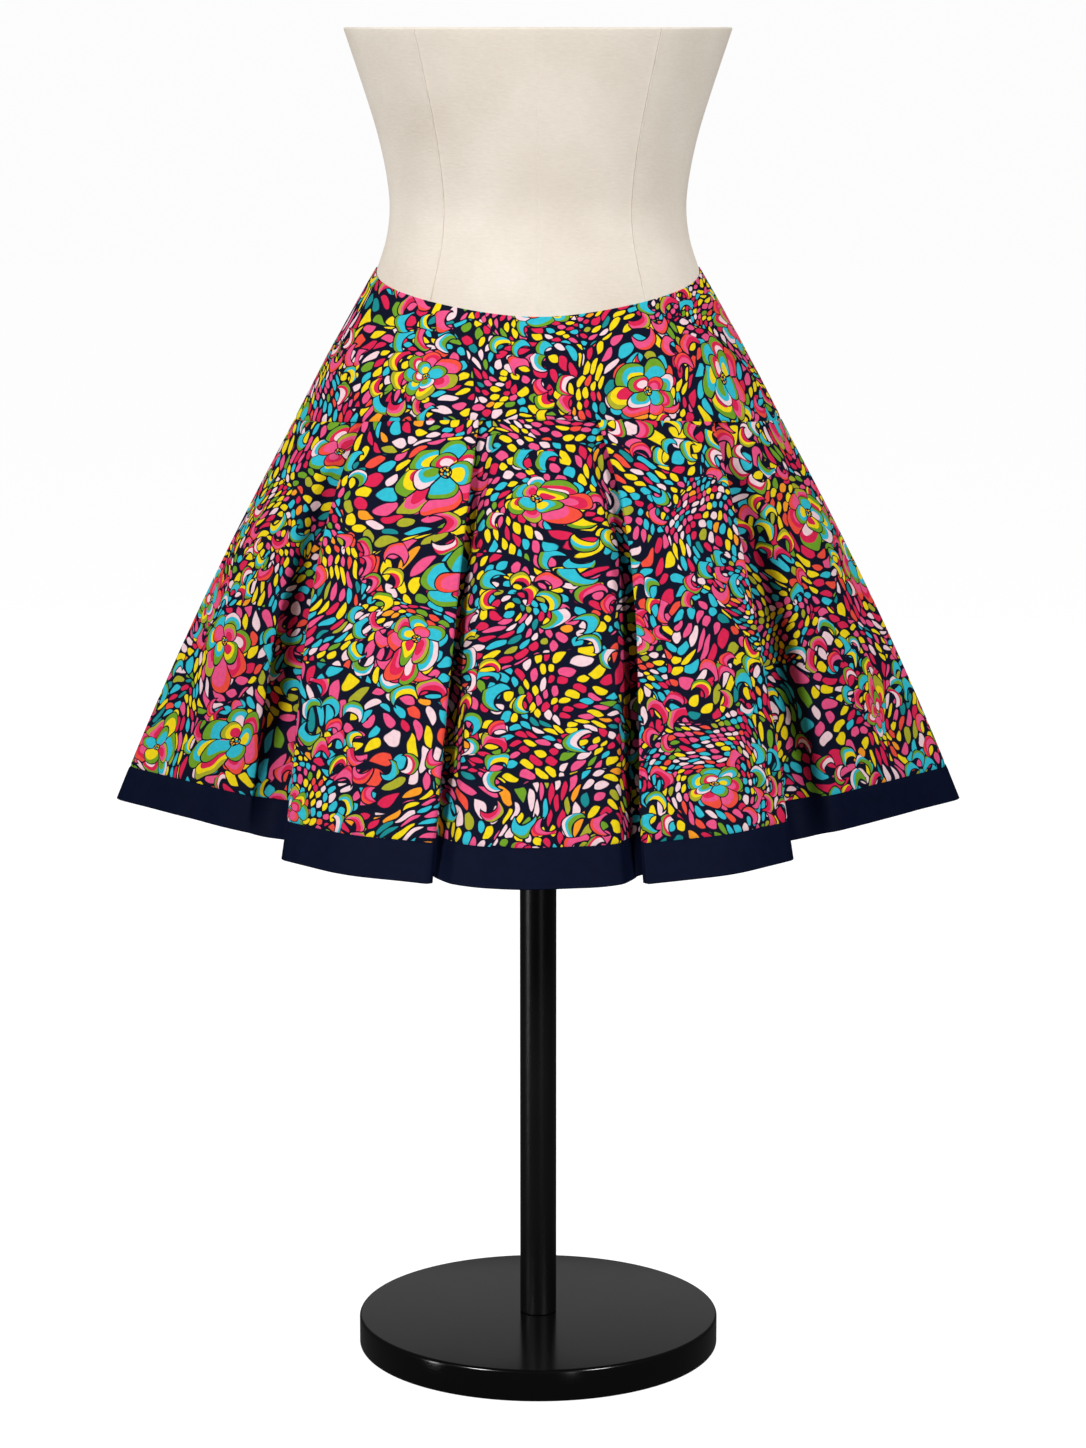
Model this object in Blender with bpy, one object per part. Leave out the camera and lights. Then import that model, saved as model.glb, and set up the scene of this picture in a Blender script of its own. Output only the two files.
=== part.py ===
"""A pleated mini skirt on a half torso dress form.

Metres, +Z up, floor at z = 0. The form faces -Y, so the wearer's left is +X.

The skirt has a fitted yoke, a flared lower part with four raised box pleats (two in front, two
behind), and a plain band round the hem. Each cloth piece is a sheet of points worked out from the
tables below and given its thickness by a Solidify modifier. A ring of the skirt is followed by the
angle THETA: 0 at the centre front, 90 degrees at the wearer's left side, 180 at the centre back.
"""

import math
from typing import NamedTuple

import bmesh
import bpy
from mathutils import Vector

MM = 0.001

# ---- Driving dimensions -------------------------------------------------------------------------
WALL = 1.0 * MM  # thickness of the cloth
SEAM_GAP = 0.3 * MM  # between two pieces at a seam, and between any two solids that meet
PLEATED_EDGE_GAP = 0.55 * MM  # taken off the panels' top edge, whose wall tilts at the pleats

BASE_RADIUS = 139.0 * MM
BASE_THICKNESS = 24.6 * MM
BASE_BEVEL = 2.5 * MM
POLE_RADIUS = 14.0 * MM

FORM_BOTTOM = 600.0 * MM
FORM_TOP = 1009.0 * MM
FORM_EDGE = 5.0 * MM  # rounding of the form's top and bottom edges
FORM_SQUARENESS = 2.15  # 2 is an ellipse, more is squarer

# Height of the yoke's top edge, of the yoke seam and of the hem: centre front, side, centre back.
WAIST_HEIGHT = (803.0 * MM, 833.0 * MM, 838.0 * MM)
SEAM_HEIGHT = (733.0 * MM, 722.0 * MM, 727.0 * MM)
HEM_HEIGHT = (424.0 * MM, 430.8 * MM, 428.5 * MM)
DIP_SOFTNESS = 12.0  # degrees over which the waist's front dip is rounded

SEAM_HALF_WIDTH = 181.0 * MM
SEAM_FRONT_DEPTH = 125.0 * MM
SEAM_BACK_DEPTH = 139.0 * MM
SEAM_SQUARENESS = 1.9
SEAM_MEAN_RADIUS = 156.0 * MM  # turns a run along the seam ring into an angle

WAIST_CLEARANCE = 0.4 * MM  # between the form and the cloth at the waist, front and sides
ZIP_CLEARANCE = 2.2 * MM  # the same at the centre back, where the zip tape lies between
BAND_DEPTH = 30.0 * MM  # of the hem band, down the slant of the cloth
YOKE_BULGE = 0.02  # how much the yoke fills out between its edges, as a share of its flare
FLARE_BULGE = 0.039  # the same for the panels below it

LAYER = 2.0 * MM  # from one layer of cloth to the next where a pleat is stacked in the seam

YOKE_ROWS = 3
PANEL_ROWS = 6
BAND_ROWS = 1
YOKE_STEPS = 18  # columns in a quarter of the yoke
FORM_SIDES = 48

ZIP_LENGTH = 178.0 * MM
ZIP_TOP_INSET = 3.0 * MM  # from the waist edge down to the tape and the slider
ZIP_ROWS = 6
TAPE_WIDTH = 16.0 * MM
TAPE_THICKNESS = 0.8 * MM
TAPE_GAP = 0.7 * MM  # behind the cloth, so that the flat tape clears its curve
SLIDER_WIDTH = 5.0 * MM
SLIDER_LENGTH = 9.0 * MM
SLIDER_THICKNESS = 2.0 * MM
BRIDGE_WIDTH = 1.4 * MM  # of the loop on the slider that holds the pull tab
BRIDGE_SPAN = 3.8 * MM  # of the loop, along the zip
BRIDGE_HEIGHT = 3.3 * MM
BRIDGE_METAL = 0.9 * MM
PIVOT_HEIGHT = 1.2 * MM  # of the pull tab's bar above the slider's face
PULL_LENGTH = 21.0 * MM
PULL_WIDTH = 5.6 * MM
PULL_THICKNESS = 0.9 * MM
PULL_BAR = 0.9 * MM  # width of the bar at the tab's top, which lies under the loop
PULL_HOLE = (2.4 * MM, 3.4 * MM)  # across and along the tab
PULL_LEAN = 5.0  # degrees that the hanging tab leans in, towards the cloth


class FormSection(NamedTuple):
    """A level section of the dress form, in millimetres."""

    height: float
    half_width: float
    front: float
    back: float


FORM_SECTIONS = (
    FormSection(600, 146.0, 84.0, 92.0),
    FormSection(640, 160.0, 92.0, 105.0),
    FormSection(690, 159.0, 94.5, 110.5),
    FormSection(740, 149.5, 92.0, 109.0),
    FormSection(780, 138.0, 88.0, 101.5),
    FormSection(810, 127.0, 85.5, 94.5),
    FormSection(834, 118.8, 82.5, 88.5),
    FormSection(855, 112.2, 79.5, 83.0),
    FormSection(877, 109.6, 78.0, 79.5),
    FormSection(900, 111.6, 80.5, 80.0),
    FormSection(930, 117.8, 85.5, 84.0),
    FormSection(960, 126.8, 91.5, 89.0),
    FormSection(1009, 143.0, 101.0, 97.0),
)


class Bend(NamedTuple):
    """A line down the panel where the cloth bends, from the yoke seam to the hem.

    turn: its angle round the yoke seam, degrees from the centre front or the centre back
    layer: how many layers of cloth lie over it at the seam
    hem_x, hem_out: its place at the hem, sideways and forwards (or backwards), mm
    seam_reach, hem_reach: how far from the line the bend starts, mm
    left, right: how far out the line bows in its upper half, on the left and the right side, mm
    sink: how far in it dips about half way down, mm
    arc: steps round the bend
    run: steps of the flat stretch after it
    """

    turn: float
    layer: int
    hem_x: float
    hem_out: float
    seam_reach: float
    hem_reach: float
    left: float
    right: float
    sink: float
    arc: int
    run: int


FRONT_BENDS = {
    "centre": Bend(0.0, 0, 0.0, 285.0, 6.0, 20.0, 0.0, 0.0, 0.0, 1, 2),
    "centre_edge": Bend(8.5, 0, 46.0, 277.0, 3.0, 14.0, 13.0, 3.0, 0.0, 2, 2),
    "under_flute": Bend(13.0, 2, 72.0, 259.0, 3.0, 8.0, 13.0, 2.0, 29.0, 2, 1),
    "inner_crease": Bend(21.0, 2, 99.0, 240.0, 0.85, 3.0, 11.0, 1.0, 16.0, 2, 1),
    "inner_return": Bend(21.0, 1, 102.0, 247.0, 0.85, 3.0, 11.0, 1.0, 7.0, 2, 1),
    "flute_turn": Bend(14.7, 1, 73.0, 262.5, 0.85, 2.6, 13.0, 1.0, 0.0, 2, 1),
    "flute_edge": Bend(14.7, 0, 76.0, 268.0, 0.85, 2.6, 13.0, 1.0, 0.0, 2, 3),
    "flute_face": Bend(30.0, 0, 138.0, 243.0, 10.0, 18.0, 6.0, 9.0, 0.0, 2, 3),
    "far_edge": Bend(45.5, 0, 182.0, 201.0, 0.85, 7.0, 3.0, 12.0, 0.0, 3, 1),
    "far_turn": Bend(45.5, 1, 181.0, 185.0, 0.85, 6.0, 3.0, 12.0, 0.0, 2, 1),
    "outer_return": Bend(38.5, 1, 153.0, 163.0, 0.85, 4.0, 2.0, 10.0, 9.0, 2, 1),
    "outer_crease": Bend(38.5, 2, 153.0, 152.0, 0.85, 4.0, 2.0, 10.0, 24.0, 2, 1),
    "past_flute": Bend(47.0, 2, 187.0, 145.0, 3.0, 10.0, 2.0, 11.0, 38.0, 2, 2),
    "side_face": Bend(57.0, 0, 236.0, 98.0, 4.0, 22.0, 3.0, 8.0, 4.0, 2, 6),
    "side_seam": Bend(90.0, 0, 327.0, -6.0, 6.0, 20.0, 0.0, 0.0, 0.0, 3, 0),
}

BACK_BENDS = {
    "centre": Bend(0.0, 0, 0.0, 285.3, 6.0, 20.0, 0.0, 0.0, 0.0, 1, 2),
    "centre_edge": Bend(10.0, 0, 50.0, 278.0, 3.0, 14.0, 8.0, 4.0, 0.0, 2, 2),
    "under_flute": Bend(14.5, 2, 77.0, 260.0, 3.0, 8.0, 8.0, 4.0, 25.0, 2, 1),
    "inner_crease": Bend(22.5, 2, 104.0, 241.0, 0.85, 3.0, 7.0, 3.0, 14.0, 2, 1),
    "inner_return": Bend(22.5, 1, 107.0, 248.0, 0.85, 3.0, 7.0, 3.0, 6.0, 2, 1),
    "flute_turn": Bend(16.2, 1, 79.0, 264.0, 0.85, 2.6, 8.0, 4.0, 0.0, 2, 1),
    "flute_edge": Bend(16.2, 0, 82.0, 270.0, 0.85, 2.6, 8.0, 4.0, 0.0, 2, 3),
    "flute_face": Bend(31.0, 0, 142.0, 246.0, 10.0, 18.0, 9.0, 6.0, 0.0, 2, 3),
    "far_edge": Bend(46.5, 0, 187.0, 203.0, 0.85, 7.0, 10.0, 4.0, 0.0, 3, 1),
    "far_turn": Bend(46.5, 1, 186.0, 187.0, 0.85, 6.0, 10.0, 4.0, 0.0, 2, 1),
    "outer_return": Bend(39.5, 1, 158.0, 166.0, 0.85, 4.0, 8.0, 3.0, 8.0, 2, 1),
    "outer_crease": Bend(39.5, 2, 158.0, 155.0, 0.85, 4.0, 8.0, 3.0, 20.0, 2, 1),
    "past_flute": Bend(48.0, 2, 191.0, 149.0, 3.0, 10.0, 8.0, 3.0, 33.0, 2, 2),
    "side_face": Bend(58.0, 0, 236.0, 112.0, 4.0, 22.0, 5.0, 2.0, 4.0, 2, 6),
    "side_seam": Bend(90.0, 0, 327.0, 6.0, 6.0, 20.0, 0.0, 0.0, 0.0, 3, 0),
}

# ---- Materials: colour, roughness, metallic -----------------------------------------------------
FINISHES = {
    "print_cloth": ((0.45, 0.10, 0.16, 1.0), 0.75, 0.0),
    "navy_cloth": ((0.010, 0.016, 0.048, 1.0), 0.75, 0.0),
    "form_linen": ((0.76, 0.70, 0.62, 1.0), 0.85, 0.0),
    "stand_black": ((0.012, 0.012, 0.013, 1.0), 0.38, 0.0),
    "zip_tape": ((0.010, 0.014, 0.036, 1.0), 0.80, 0.0),
    "zip_enamel": ((0.014, 0.018, 0.040, 1.0), 0.35, 0.0),
}


def finish(name):
    """The material called name, made the first time it is asked for."""
    material = bpy.data.materials.get(name)
    if material:
        return material
    colour, roughness, metallic = FINISHES[name]
    material = bpy.data.materials.new(name)
    material.use_nodes = True
    shader = material.node_tree.nodes["Principled BSDF"]
    shader.inputs["Base Color"].default_value = colour
    shader.inputs["Roughness"].default_value = roughness
    shader.inputs["Metallic"].default_value = metallic
    material.diffuse_color = colour
    return material


def add_object(name, mesh_data, finish_name, sharp_angle=40.0):
    """Links mesh_data to the scene as one smooth-shaded object with its own material."""
    mesh = bpy.data.meshes.new(name)
    mesh_data.to_mesh(mesh)
    mesh_data.free()
    mesh.shade_smooth()
    mesh.set_sharp_from_angle(angle=math.radians(sharp_angle))
    mesh.materials.append(finish(finish_name))
    part = bpy.data.objects.new(name, mesh)
    bpy.context.scene.collection.objects.link(part)
    return part


# ---- Shapes that several pieces share -----------------------------------------------------------
def lerp(start, end, share):
    return start + (end - start) * share


def around(theta, values):
    """A value that passes smoothly from the centre front to the side to the centre back."""
    front, side, back = values
    share = math.sin(theta) ** 2
    return lerp(front if math.cos(theta) > 0.0 else back, side, share)


def rounded_power(value, squareness):
    """cos or sin raised so that a ring of it is squarer or more pointed than an ellipse."""
    return math.copysign(abs(value) ** (2.0 / squareness), value)


def ring_point(theta, half_width, front, back, squareness, height):
    depth = front if math.cos(theta) > 0.0 else back
    across = half_width * rounded_power(math.sin(theta), squareness)
    along = -depth * rounded_power(math.cos(theta), squareness)
    return Vector((across, along, height))


def form_section(height):
    """Half width, front depth and back depth of the form at a height, on smooth curves."""
    level = height / MM
    rows = FORM_SECTIONS
    index = max(i for i in range(len(rows) - 1) if rows[i].height <= level or i == 0)
    low, high = rows[index], rows[index + 1]
    before = rows[max(index - 1, 0)]
    after = rows[min(index + 2, len(rows) - 1)]
    span = high.height - low.height
    share = min(max((level - low.height) / span, 0.0), 1.0)
    sizes = []
    for column in (1, 2, 3):
        low_slope = (high[column] - before[column]) / (high.height - before.height) * span
        high_slope = (after[column] - low[column]) / (after.height - low.height) * span
        cube, square = share**3, share**2
        value = (2 * cube - 3 * square + 1) * low[column] + (cube - 2 * square + share) * low_slope
        value += (3 * square - 2 * cube) * high[column] + (cube - square) * high_slope
        sizes.append(value * MM)
    return sizes


def form_point(theta, height, out=0.0):
    """A point of the form's surface, or that far outside it."""
    half_width, front, back = form_section(height)
    sizes = (half_width + out, front + out, back + out)
    return ring_point(theta, *sizes, FORM_SQUARENESS, height)


def waist_height(theta):
    """Height of the yoke's top edge: a softened V in front, nearly level behind."""
    front, side, back = WAIST_HEIGHT
    degrees = math.degrees(math.acos(math.cos(theta)))
    if degrees > 90.0:
        return lerp(back, side, math.sin(theta) ** 2)
    rise = math.hypot(degrees, DIP_SOFTNESS) - DIP_SOFTNESS
    full_rise = math.hypot(90.0, DIP_SOFTNESS) - DIP_SOFTNESS
    return lerp(front, side, rise / full_rise)


def waist_point(theta):
    behind = max(0.0, -math.cos(theta)) ** 4
    clearance = lerp(WAIST_CLEARANCE, ZIP_CLEARANCE, behind)
    return form_point(theta, waist_height(theta), clearance + WALL / 2)


def seam_point(theta, inward=0.0):
    """A point of the yoke seam, or that far inside it, where the layers of a pleat are stacked."""
    sizes = (SEAM_HALF_WIDTH - inward, SEAM_FRONT_DEPTH - inward, SEAM_BACK_DEPTH - inward)
    return ring_point(theta, *sizes, SEAM_SQUARENESS, around(theta, SEAM_HEIGHT))


# ---- The pleated panels -------------------------------------------------------------------------
def rounded_path(corners, reaches, bends):
    """The points along corners with each one rounded off, the same number whatever the sizes."""
    first, last = corners[0], corners[-1]
    # Past the centre line and past the side seam the path goes on as its own mirror image.
    ahead = Vector((2.0 * first.x - corners[1].x, corners[1].y))
    beyond = Vector((corners[-2].x, 2.0 * last.y - corners[-2].y))
    whole = [ahead, *corners, beyond]
    points = []
    for index, (bend, wanted) in enumerate(zip(bends, reaches, strict=True)):
        before, corner, after = whole[index : index + 3]
        reach = min(wanted, 0.49 * (corner - before).length, 0.49 * (after - corner).length)
        start = corner + (before - corner).normalized() * reach
        end = corner + (after - corner).normalized() * reach
        # The path starts in the middle of the first arc and ends in the middle of the last.
        low = 0.5 if index == 0 else 0.0
        high = 0.5 if index == len(bends) - 1 else 1.0
        if points:
            run = bends[index - 1].run
            last_point = points[-1]
            points += [last_point.lerp(start, step / run) for step in range(1, run)]
        for step in range(bend.arc + 1):
            share = lerp(low, high, step / bend.arc)
            toward, away = start.lerp(corner, share), corner.lerp(end, share)
            points.append(toward.lerp(away, share))
    return points


def spread_out(sizes, bends):
    """The size of each point of a rounded path: a bend's own, and eased in between on a run."""
    spread = [sizes[0]] * (bends[0].arc + 1)
    for index in range(1, len(bends)):
        run = bends[index - 1].run
        for step in range(1, run):
            share = step / run
            spread.append(lerp(sizes[index - 1], sizes[index], share**2 * (3.0 - 2.0 * share)))
        spread += [sizes[index]] * (bends[index].arc + 1)
    return spread


def panel_lines(bends, is_back, is_left):
    """For each column of a quarter panel, from the centre to the side seam: its ends and bulge."""
    rows = list(bends.values())
    along_seam = []
    along_hem = []
    for bend in rows:
        run = math.radians(bend.turn) * SEAM_MEAN_RADIUS
        along_seam.append(Vector((run, bend.layer * LAYER)))
        along_hem.append(Vector((bend.hem_x, bend.hem_out)) * MM)
    seam_points = rounded_path(along_seam, [bend.seam_reach * MM for bend in rows], rows)
    hem_points = rounded_path(along_hem, [bend.hem_reach * MM for bend in rows], rows)
    bows = spread_out([bend.left if is_left else bend.right for bend in rows], rows)
    sinks = spread_out([bend.sink for bend in rows], rows)
    lines = []
    for at_seam, at_hem, bow, sink in zip(seam_points, hem_points, bows, sinks, strict=True):
        turn = at_seam.x / SEAM_MEAN_RADIUS
        theta = math.pi - turn if is_back else turn
        top = seam_point(theta, at_seam.y)
        out = at_hem.y if is_back else -at_hem.y
        hem_turn = math.atan2(at_hem.x, -out)
        bottom = Vector((at_hem.x, out, around(hem_turn, HEM_HEIGHT)))
        if not is_left:
            top.x, bottom.x = -top.x, -bottom.x
            bow = -bow
        if is_back:
            sink = -sink
        lines.append((top, bottom, Vector((bow, sink)) * MM))
    return lines


def line_point(line, share):
    """A point of one column, at a share of the way from the seam to the hem."""
    top, bottom, bulge = line
    hump = 4.0 * share * (1.0 - share)
    flared = share + FLARE_BULGE * hump
    point = top.lerp(bottom, flared)
    point.z = lerp(top.z, bottom.z, share)
    point.x += bulge.x * 6.75 * share * (1.0 - share) ** 2
    point.y += bulge.y * math.sin(0.87 * math.pi * share**1.3)
    return point


def panel_columns(lines, shares):
    """Grid of points for a panel: a list for each column, from the top down."""
    return [[line_point(line, share) for share in shares] for line in lines]


def band_share(lines):
    """The share of a column's length at which the hem band starts."""
    top, bottom, _ = lines[0]
    return 1.0 - BAND_DEPTH / (bottom - top).length


def yoke_columns(first, last, count):
    """Grid of points for a stretch of the yoke, from the first angle to the last."""
    columns = []
    for step in range(count + 1):
        theta = lerp(first, last, step / count)
        top, bottom = waist_point(theta), seam_point(theta)
        column = []
        for row in range(YOKE_ROWS + 1):
            share = row / YOKE_ROWS
            flared = share + YOKE_BULGE * 4.0 * share * (1.0 - share)
            point = top.lerp(bottom, flared)
            point.z = lerp(top.z, bottom.z, share)
            column.append(point)
        columns.append(column)
    return columns


def trim(points, amount=SEAM_GAP / 2):
    """Moves the last of points back along them, by half a seam gap unless told otherwise."""
    step = points[-2] - points[-1]
    points[-1] = points[-1] + step.normalized() * amount


def trim_columns(columns, at_start, at_end):
    """Opens half a seam gap along the first and the last column where that edge is sewn."""
    for row in range(len(columns[0])):
        across = [column[row] for column in columns]
        if at_end:
            trim(across)
            columns[-1][row] = across[-1]
        if at_start:
            across.reverse()
            trim(across)
            columns[0][row] = across[-1]


def trim_rows(columns, at_top=0.0, at_bottom=0.0):
    """Opens a gap of that size along the top and the bottom row."""
    for column in columns:
        trim(column, at_bottom)
        column.reverse()
        trim(column, at_top)
        column.reverse()


def add_cloth(name, columns, finish_name, thickness=WALL):
    """A sheet through a grid of points, with its wall. Columns run round the body by THETA."""
    sheet = bmesh.new()
    grid = [[sheet.verts.new(point) for point in column] for column in columns]
    for left, right in zip(grid, grid[1:]):
        for row in range(len(left) - 1):
            sheet.faces.new((left[row], left[row + 1], right[row + 1], right[row]))
    part = add_object(name, sheet, finish_name)
    wall = part.modifiers.new("wall", "SOLIDIFY")
    wall.thickness = thickness
    wall.offset = 0.0
    wall.use_even_offset = True
    wall.use_rim = True
    return part


def add_yoke():
    quarter = math.pi / 2
    pieces = (
        ("yoke_front", -quarter, quarter, 2 * YOKE_STEPS),
        ("yoke_back_left", quarter, 2 * quarter, YOKE_STEPS),
        ("yoke_back_right", 2 * quarter, 3 * quarter, YOKE_STEPS),
    )
    for name, first, last, count in pieces:
        columns = yoke_columns(first, last, count)
        trim_columns(columns, at_start=True, at_end=True)
        trim_rows(columns, at_bottom=SEAM_GAP / 2)
        add_cloth(name, columns, "print_cloth")


def skirt_pieces():
    """Name ending and columns' lines of each panel, in the order of THETA."""
    front_left = panel_lines(FRONT_BENDS, is_back=False, is_left=True)
    front_right = panel_lines(FRONT_BENDS, is_back=False, is_left=False)
    back_left = panel_lines(BACK_BENDS, is_back=True, is_left=True)
    back_right = panel_lines(BACK_BENDS, is_back=True, is_left=False)
    return (
        ("front", front_right[::-1] + front_left[1:]),
        ("back_left", back_left[::-1]),
        ("back_right", back_right),
    )


def add_panels_and_bands():
    for ending, lines in skirt_pieces():
        centre = band_share(lines)
        panel_shares = [centre * row / PANEL_ROWS for row in range(PANEL_ROWS + 1)]
        columns = panel_columns(lines, panel_shares)
        trim_columns(columns, at_start=True, at_end=True)
        trim_rows(columns, at_top=PLEATED_EDGE_GAP, at_bottom=SEAM_GAP / 2)
        add_cloth("panel_" + ending, columns, "print_cloth")
        band_shares = [lerp(centre, 1.0, row / BAND_ROWS) for row in range(BAND_ROWS + 1)]
        columns = panel_columns(lines, band_shares)
        trim_columns(columns, at_start=True, at_end=True)
        trim_rows(columns, at_top=SEAM_GAP / 2)
        add_cloth("hem_band_" + ending, columns, "navy_cloth")


# ---- The zip at the centre back -----------------------------------------------------------------
ACROSS = Vector((1.0, 0.0, 0.0))


def centre_back(length):
    """A point of the cloth's middle at the centre back, that length down from the waist edge."""
    column = yoke_columns(math.pi, math.pi, 1)[0]
    seam_line = skirt_pieces()[2][1][0]
    column += [line_point(seam_line, row / PANEL_ROWS) for row in range(1, PANEL_ROWS + 1)]
    for start, end in zip(column, column[1:]):
        step = (end - start).length
        if length <= step:
            return start.lerp(end, length / step), (end - start).normalized()
        length -= step
    raise ValueError("the zip is longer than the skirt")


def outward(down):
    """The way out of the cloth at the centre back, square to the way down it."""
    return ACROSS.cross(down).normalized()


def add_zip_tape():
    """The tape behind the seam, made from the cloth's points and moved inwards."""
    inward = WALL / 2 + TAPE_GAP + TAPE_THICKNESS / 2
    middle = []
    for row in range(ZIP_ROWS + 1):
        at, down = centre_back(ZIP_TOP_INSET + ZIP_LENGTH * row / ZIP_ROWS)
        middle.append(at - outward(down) * inward)
    columns = [[point + ACROSS * x for point in middle] for x in (TAPE_WIDTH / 2, -TAPE_WIDTH / 2)]
    add_cloth("zip_tape", columns, "zip_tape", TAPE_THICKNESS)


def slab(outline, thickness, at, across, down):
    """An outline of (across, down) points as a slab that stands off the point called at."""
    out = across.cross(down).normalized()
    shape = bmesh.new()
    face = shape.faces.new([shape.verts.new(at + across * x + down * y) for x, y in outline])
    made = bmesh.ops.extrude_face_region(shape, geom=[face])
    moved = [item for item in made["geom"] if isinstance(item, bmesh.types.BMVert)]
    bmesh.ops.translate(shape, vec=out * thickness, verts=moved)
    bmesh.ops.recalc_face_normals(shape, faces=shape.faces)
    return shape


def box_outline(x_low, x_high, y_low, y_high):
    return [(x_low, y_low), (x_high, y_low), (x_high, y_high), (x_low, y_high)]


def add_helper(name, shape):
    """A solid that only a Boolean reads."""
    helper = add_object(name, shape, "zip_enamel")
    helper.hide_render = True
    helper.display_type = "WIRE"
    return helper


def combine(part, helper, operation):
    boolean = part.modifiers.new(helper.name, "BOOLEAN")
    boolean.operation = operation
    boolean.solver = "EXACT"
    boolean.object = helper


def slider_place():
    """The middle of the slider's underside, the way down the cloth and the way out of it."""
    at, down = centre_back(ZIP_TOP_INSET + SLIDER_LENGTH / 2)
    out = outward(down)
    return at + out * (WALL / 2 + SEAM_GAP), down, out


def pull_pivot():
    at, _, out = slider_place()
    return at + out * (SLIDER_THICKNESS + PIVOT_HEIGHT)


def add_zip_slider():
    """A narrow body, tapered downwards, and the loop that holds the pull tab."""
    at, down, out = slider_place()
    wide, narrow, half = SLIDER_WIDTH / 2, SLIDER_WIDTH * 0.36, SLIDER_LENGTH / 2
    body = [(-wide, -half), (wide, -half), (wide, 0.0), (narrow, half), (-narrow, half), (-wide, 0.0)]
    slider = add_object("zip_slider", slab(body, SLIDER_THICKNESS, at, ACROSS, down), "zip_enamel")
    span, height, metal = BRIDGE_SPAN / 2, BRIDGE_HEIGHT, BRIDGE_METAL
    root = -SLIDER_THICKNESS / 4  # the loop's feet run into the body
    corner = 0.6 * metal
    loop = [(-span, root), (-span, height - corner), (-span + corner, height)]
    loop += [(span - corner, height), (span, height - corner), (span, root)]
    loop += [(span - metal, root), (span - metal, height - metal)]
    loop += [(-span + metal, height - metal), (-span + metal, root)]
    side = at + out * SLIDER_THICKNESS - ACROSS * (BRIDGE_WIDTH / 2)
    bridge = add_helper("slider_loop", slab(loop, BRIDGE_WIDTH, side, down, out))
    combine(slider, bridge, "UNION")


def add_zip_pull():
    """A flat drop-shaped tab whose top bar lies under the slider's loop."""
    _, down, out = slider_place()
    lean = math.radians(PULL_LEAN)
    along = down * math.cos(lean) - out * math.sin(lean)
    face = ACROSS.cross(along)
    corner = pull_pivot() - face * (PULL_THICKNESS / 2)
    top, end = -PULL_BAR / 2, PULL_LENGTH - PULL_BAR / 2
    half = PULL_WIDTH / 2
    shoulder = 0.62 * half
    right = [(shoulder, top), (0.72 * half, 0.2 * end), (0.8 * half, 0.45 * end)]
    centre = end - half
    tip = [math.radians(angle) for angle in range(0, 91, 30)]
    right += [(half * math.cos(angle), centre + half * math.sin(angle)) for angle in tip]
    outline = right + [(-x, y) for x, y in reversed(right[:-1])]
    pull = add_object("zip_pull", slab(outline, PULL_THICKNESS, corner, ACROSS, along), "zip_enamel")
    width, length = PULL_HOLE
    hole = box_outline(-width / 2, width / 2, PULL_BAR / 2, PULL_BAR / 2 + length)
    below = corner - face * PULL_THICKNESS
    cutter = add_helper("pull_hole", slab(hole, 3.0 * PULL_THICKNESS, below, ACROSS, along))
    combine(pull, cutter, "DIFFERENCE")


# ---- The dress form and its stand ---------------------------------------------------------------
def add_form():
    """The torso: level rings joined by walls, with its top and bottom closed flat."""
    heights = [FORM_BOTTOM, FORM_BOTTOM + FORM_EDGE]
    heights += [row.height * MM for row in FORM_SECTIONS[1:-1]]
    heights += [FORM_TOP - FORM_EDGE, FORM_TOP]
    shape = bmesh.new()
    rings = []
    for height in heights:
        inset = -FORM_EDGE if height in (FORM_BOTTOM, FORM_TOP) else 0.0
        ring = []
        for side in range(FORM_SIDES):
            theta = 2.0 * math.pi * side / FORM_SIDES
            ring.append(shape.verts.new(form_point(theta, height, inset)))
        rings.append(ring)
    for low, high in zip(rings, rings[1:]):
        for side in range(FORM_SIDES):
            after = (side + 1) % FORM_SIDES
            shape.faces.new((low[side], low[after], high[after], high[side]))
    shape.faces.new(rings[-1])
    shape.faces.new(rings[0][::-1])
    bmesh.ops.recalc_face_normals(shape, faces=shape.faces)
    add_object("form_torso", shape, "form_linen", 50.0)


def add_disc(name, radius, low, high, bevel, segments):
    """An upright round solid with its rims bevelled."""
    shape = bmesh.new()
    bmesh.ops.create_cone(
        shape, cap_ends=True, segments=segments, radius1=radius, radius2=radius, depth=high - low
    )
    bmesh.ops.translate(shape, vec=(0.0, 0.0, (low + high) / 2), verts=shape.verts)
    part = add_object(name, shape, "stand_black")
    if bevel:
        rim = part.modifiers.new("rim", "BEVEL")
        rim.width = bevel
        rim.segments = 2
        rim.limit_method = "ANGLE"
        rim.angle_limit = math.radians(60.0)


def add_stand():
    add_disc("stand_base", BASE_RADIUS, 0.0, BASE_THICKNESS, BASE_BEVEL, 64)
    low, high = BASE_THICKNESS + SEAM_GAP, FORM_BOTTOM - SEAM_GAP
    add_disc("stand_pole", POLE_RADIUS, low, high, 0.0, 32)


def main():
    for item in list(bpy.data.objects):
        bpy.data.objects.remove(item)
    add_stand()
    add_form()
    add_yoke()
    add_panels_and_bands()
    add_zip_tape()
    add_zip_slider()
    add_zip_pull()


main()
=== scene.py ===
"""A pleated mini skirt on a half torso dress form, dressed for a plain studio picture.

Metres, +Z up, floor at z = 0. The form faces -Y, so the wearer's left is +X. A ring of the skirt is
followed by the angle THETA: 0 at the centre front, 90 degrees at the wearer's left side, 180 at the
centre back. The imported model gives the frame. Every cloth piece is a finer sheet on the form of its
solid.
"""

import logging
import math
from collections.abc import Callable, Sequence
from dataclasses import dataclass, field
from enum import Enum
from functools import cached_property
from typing import ClassVar, NamedTuple, Union

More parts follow.
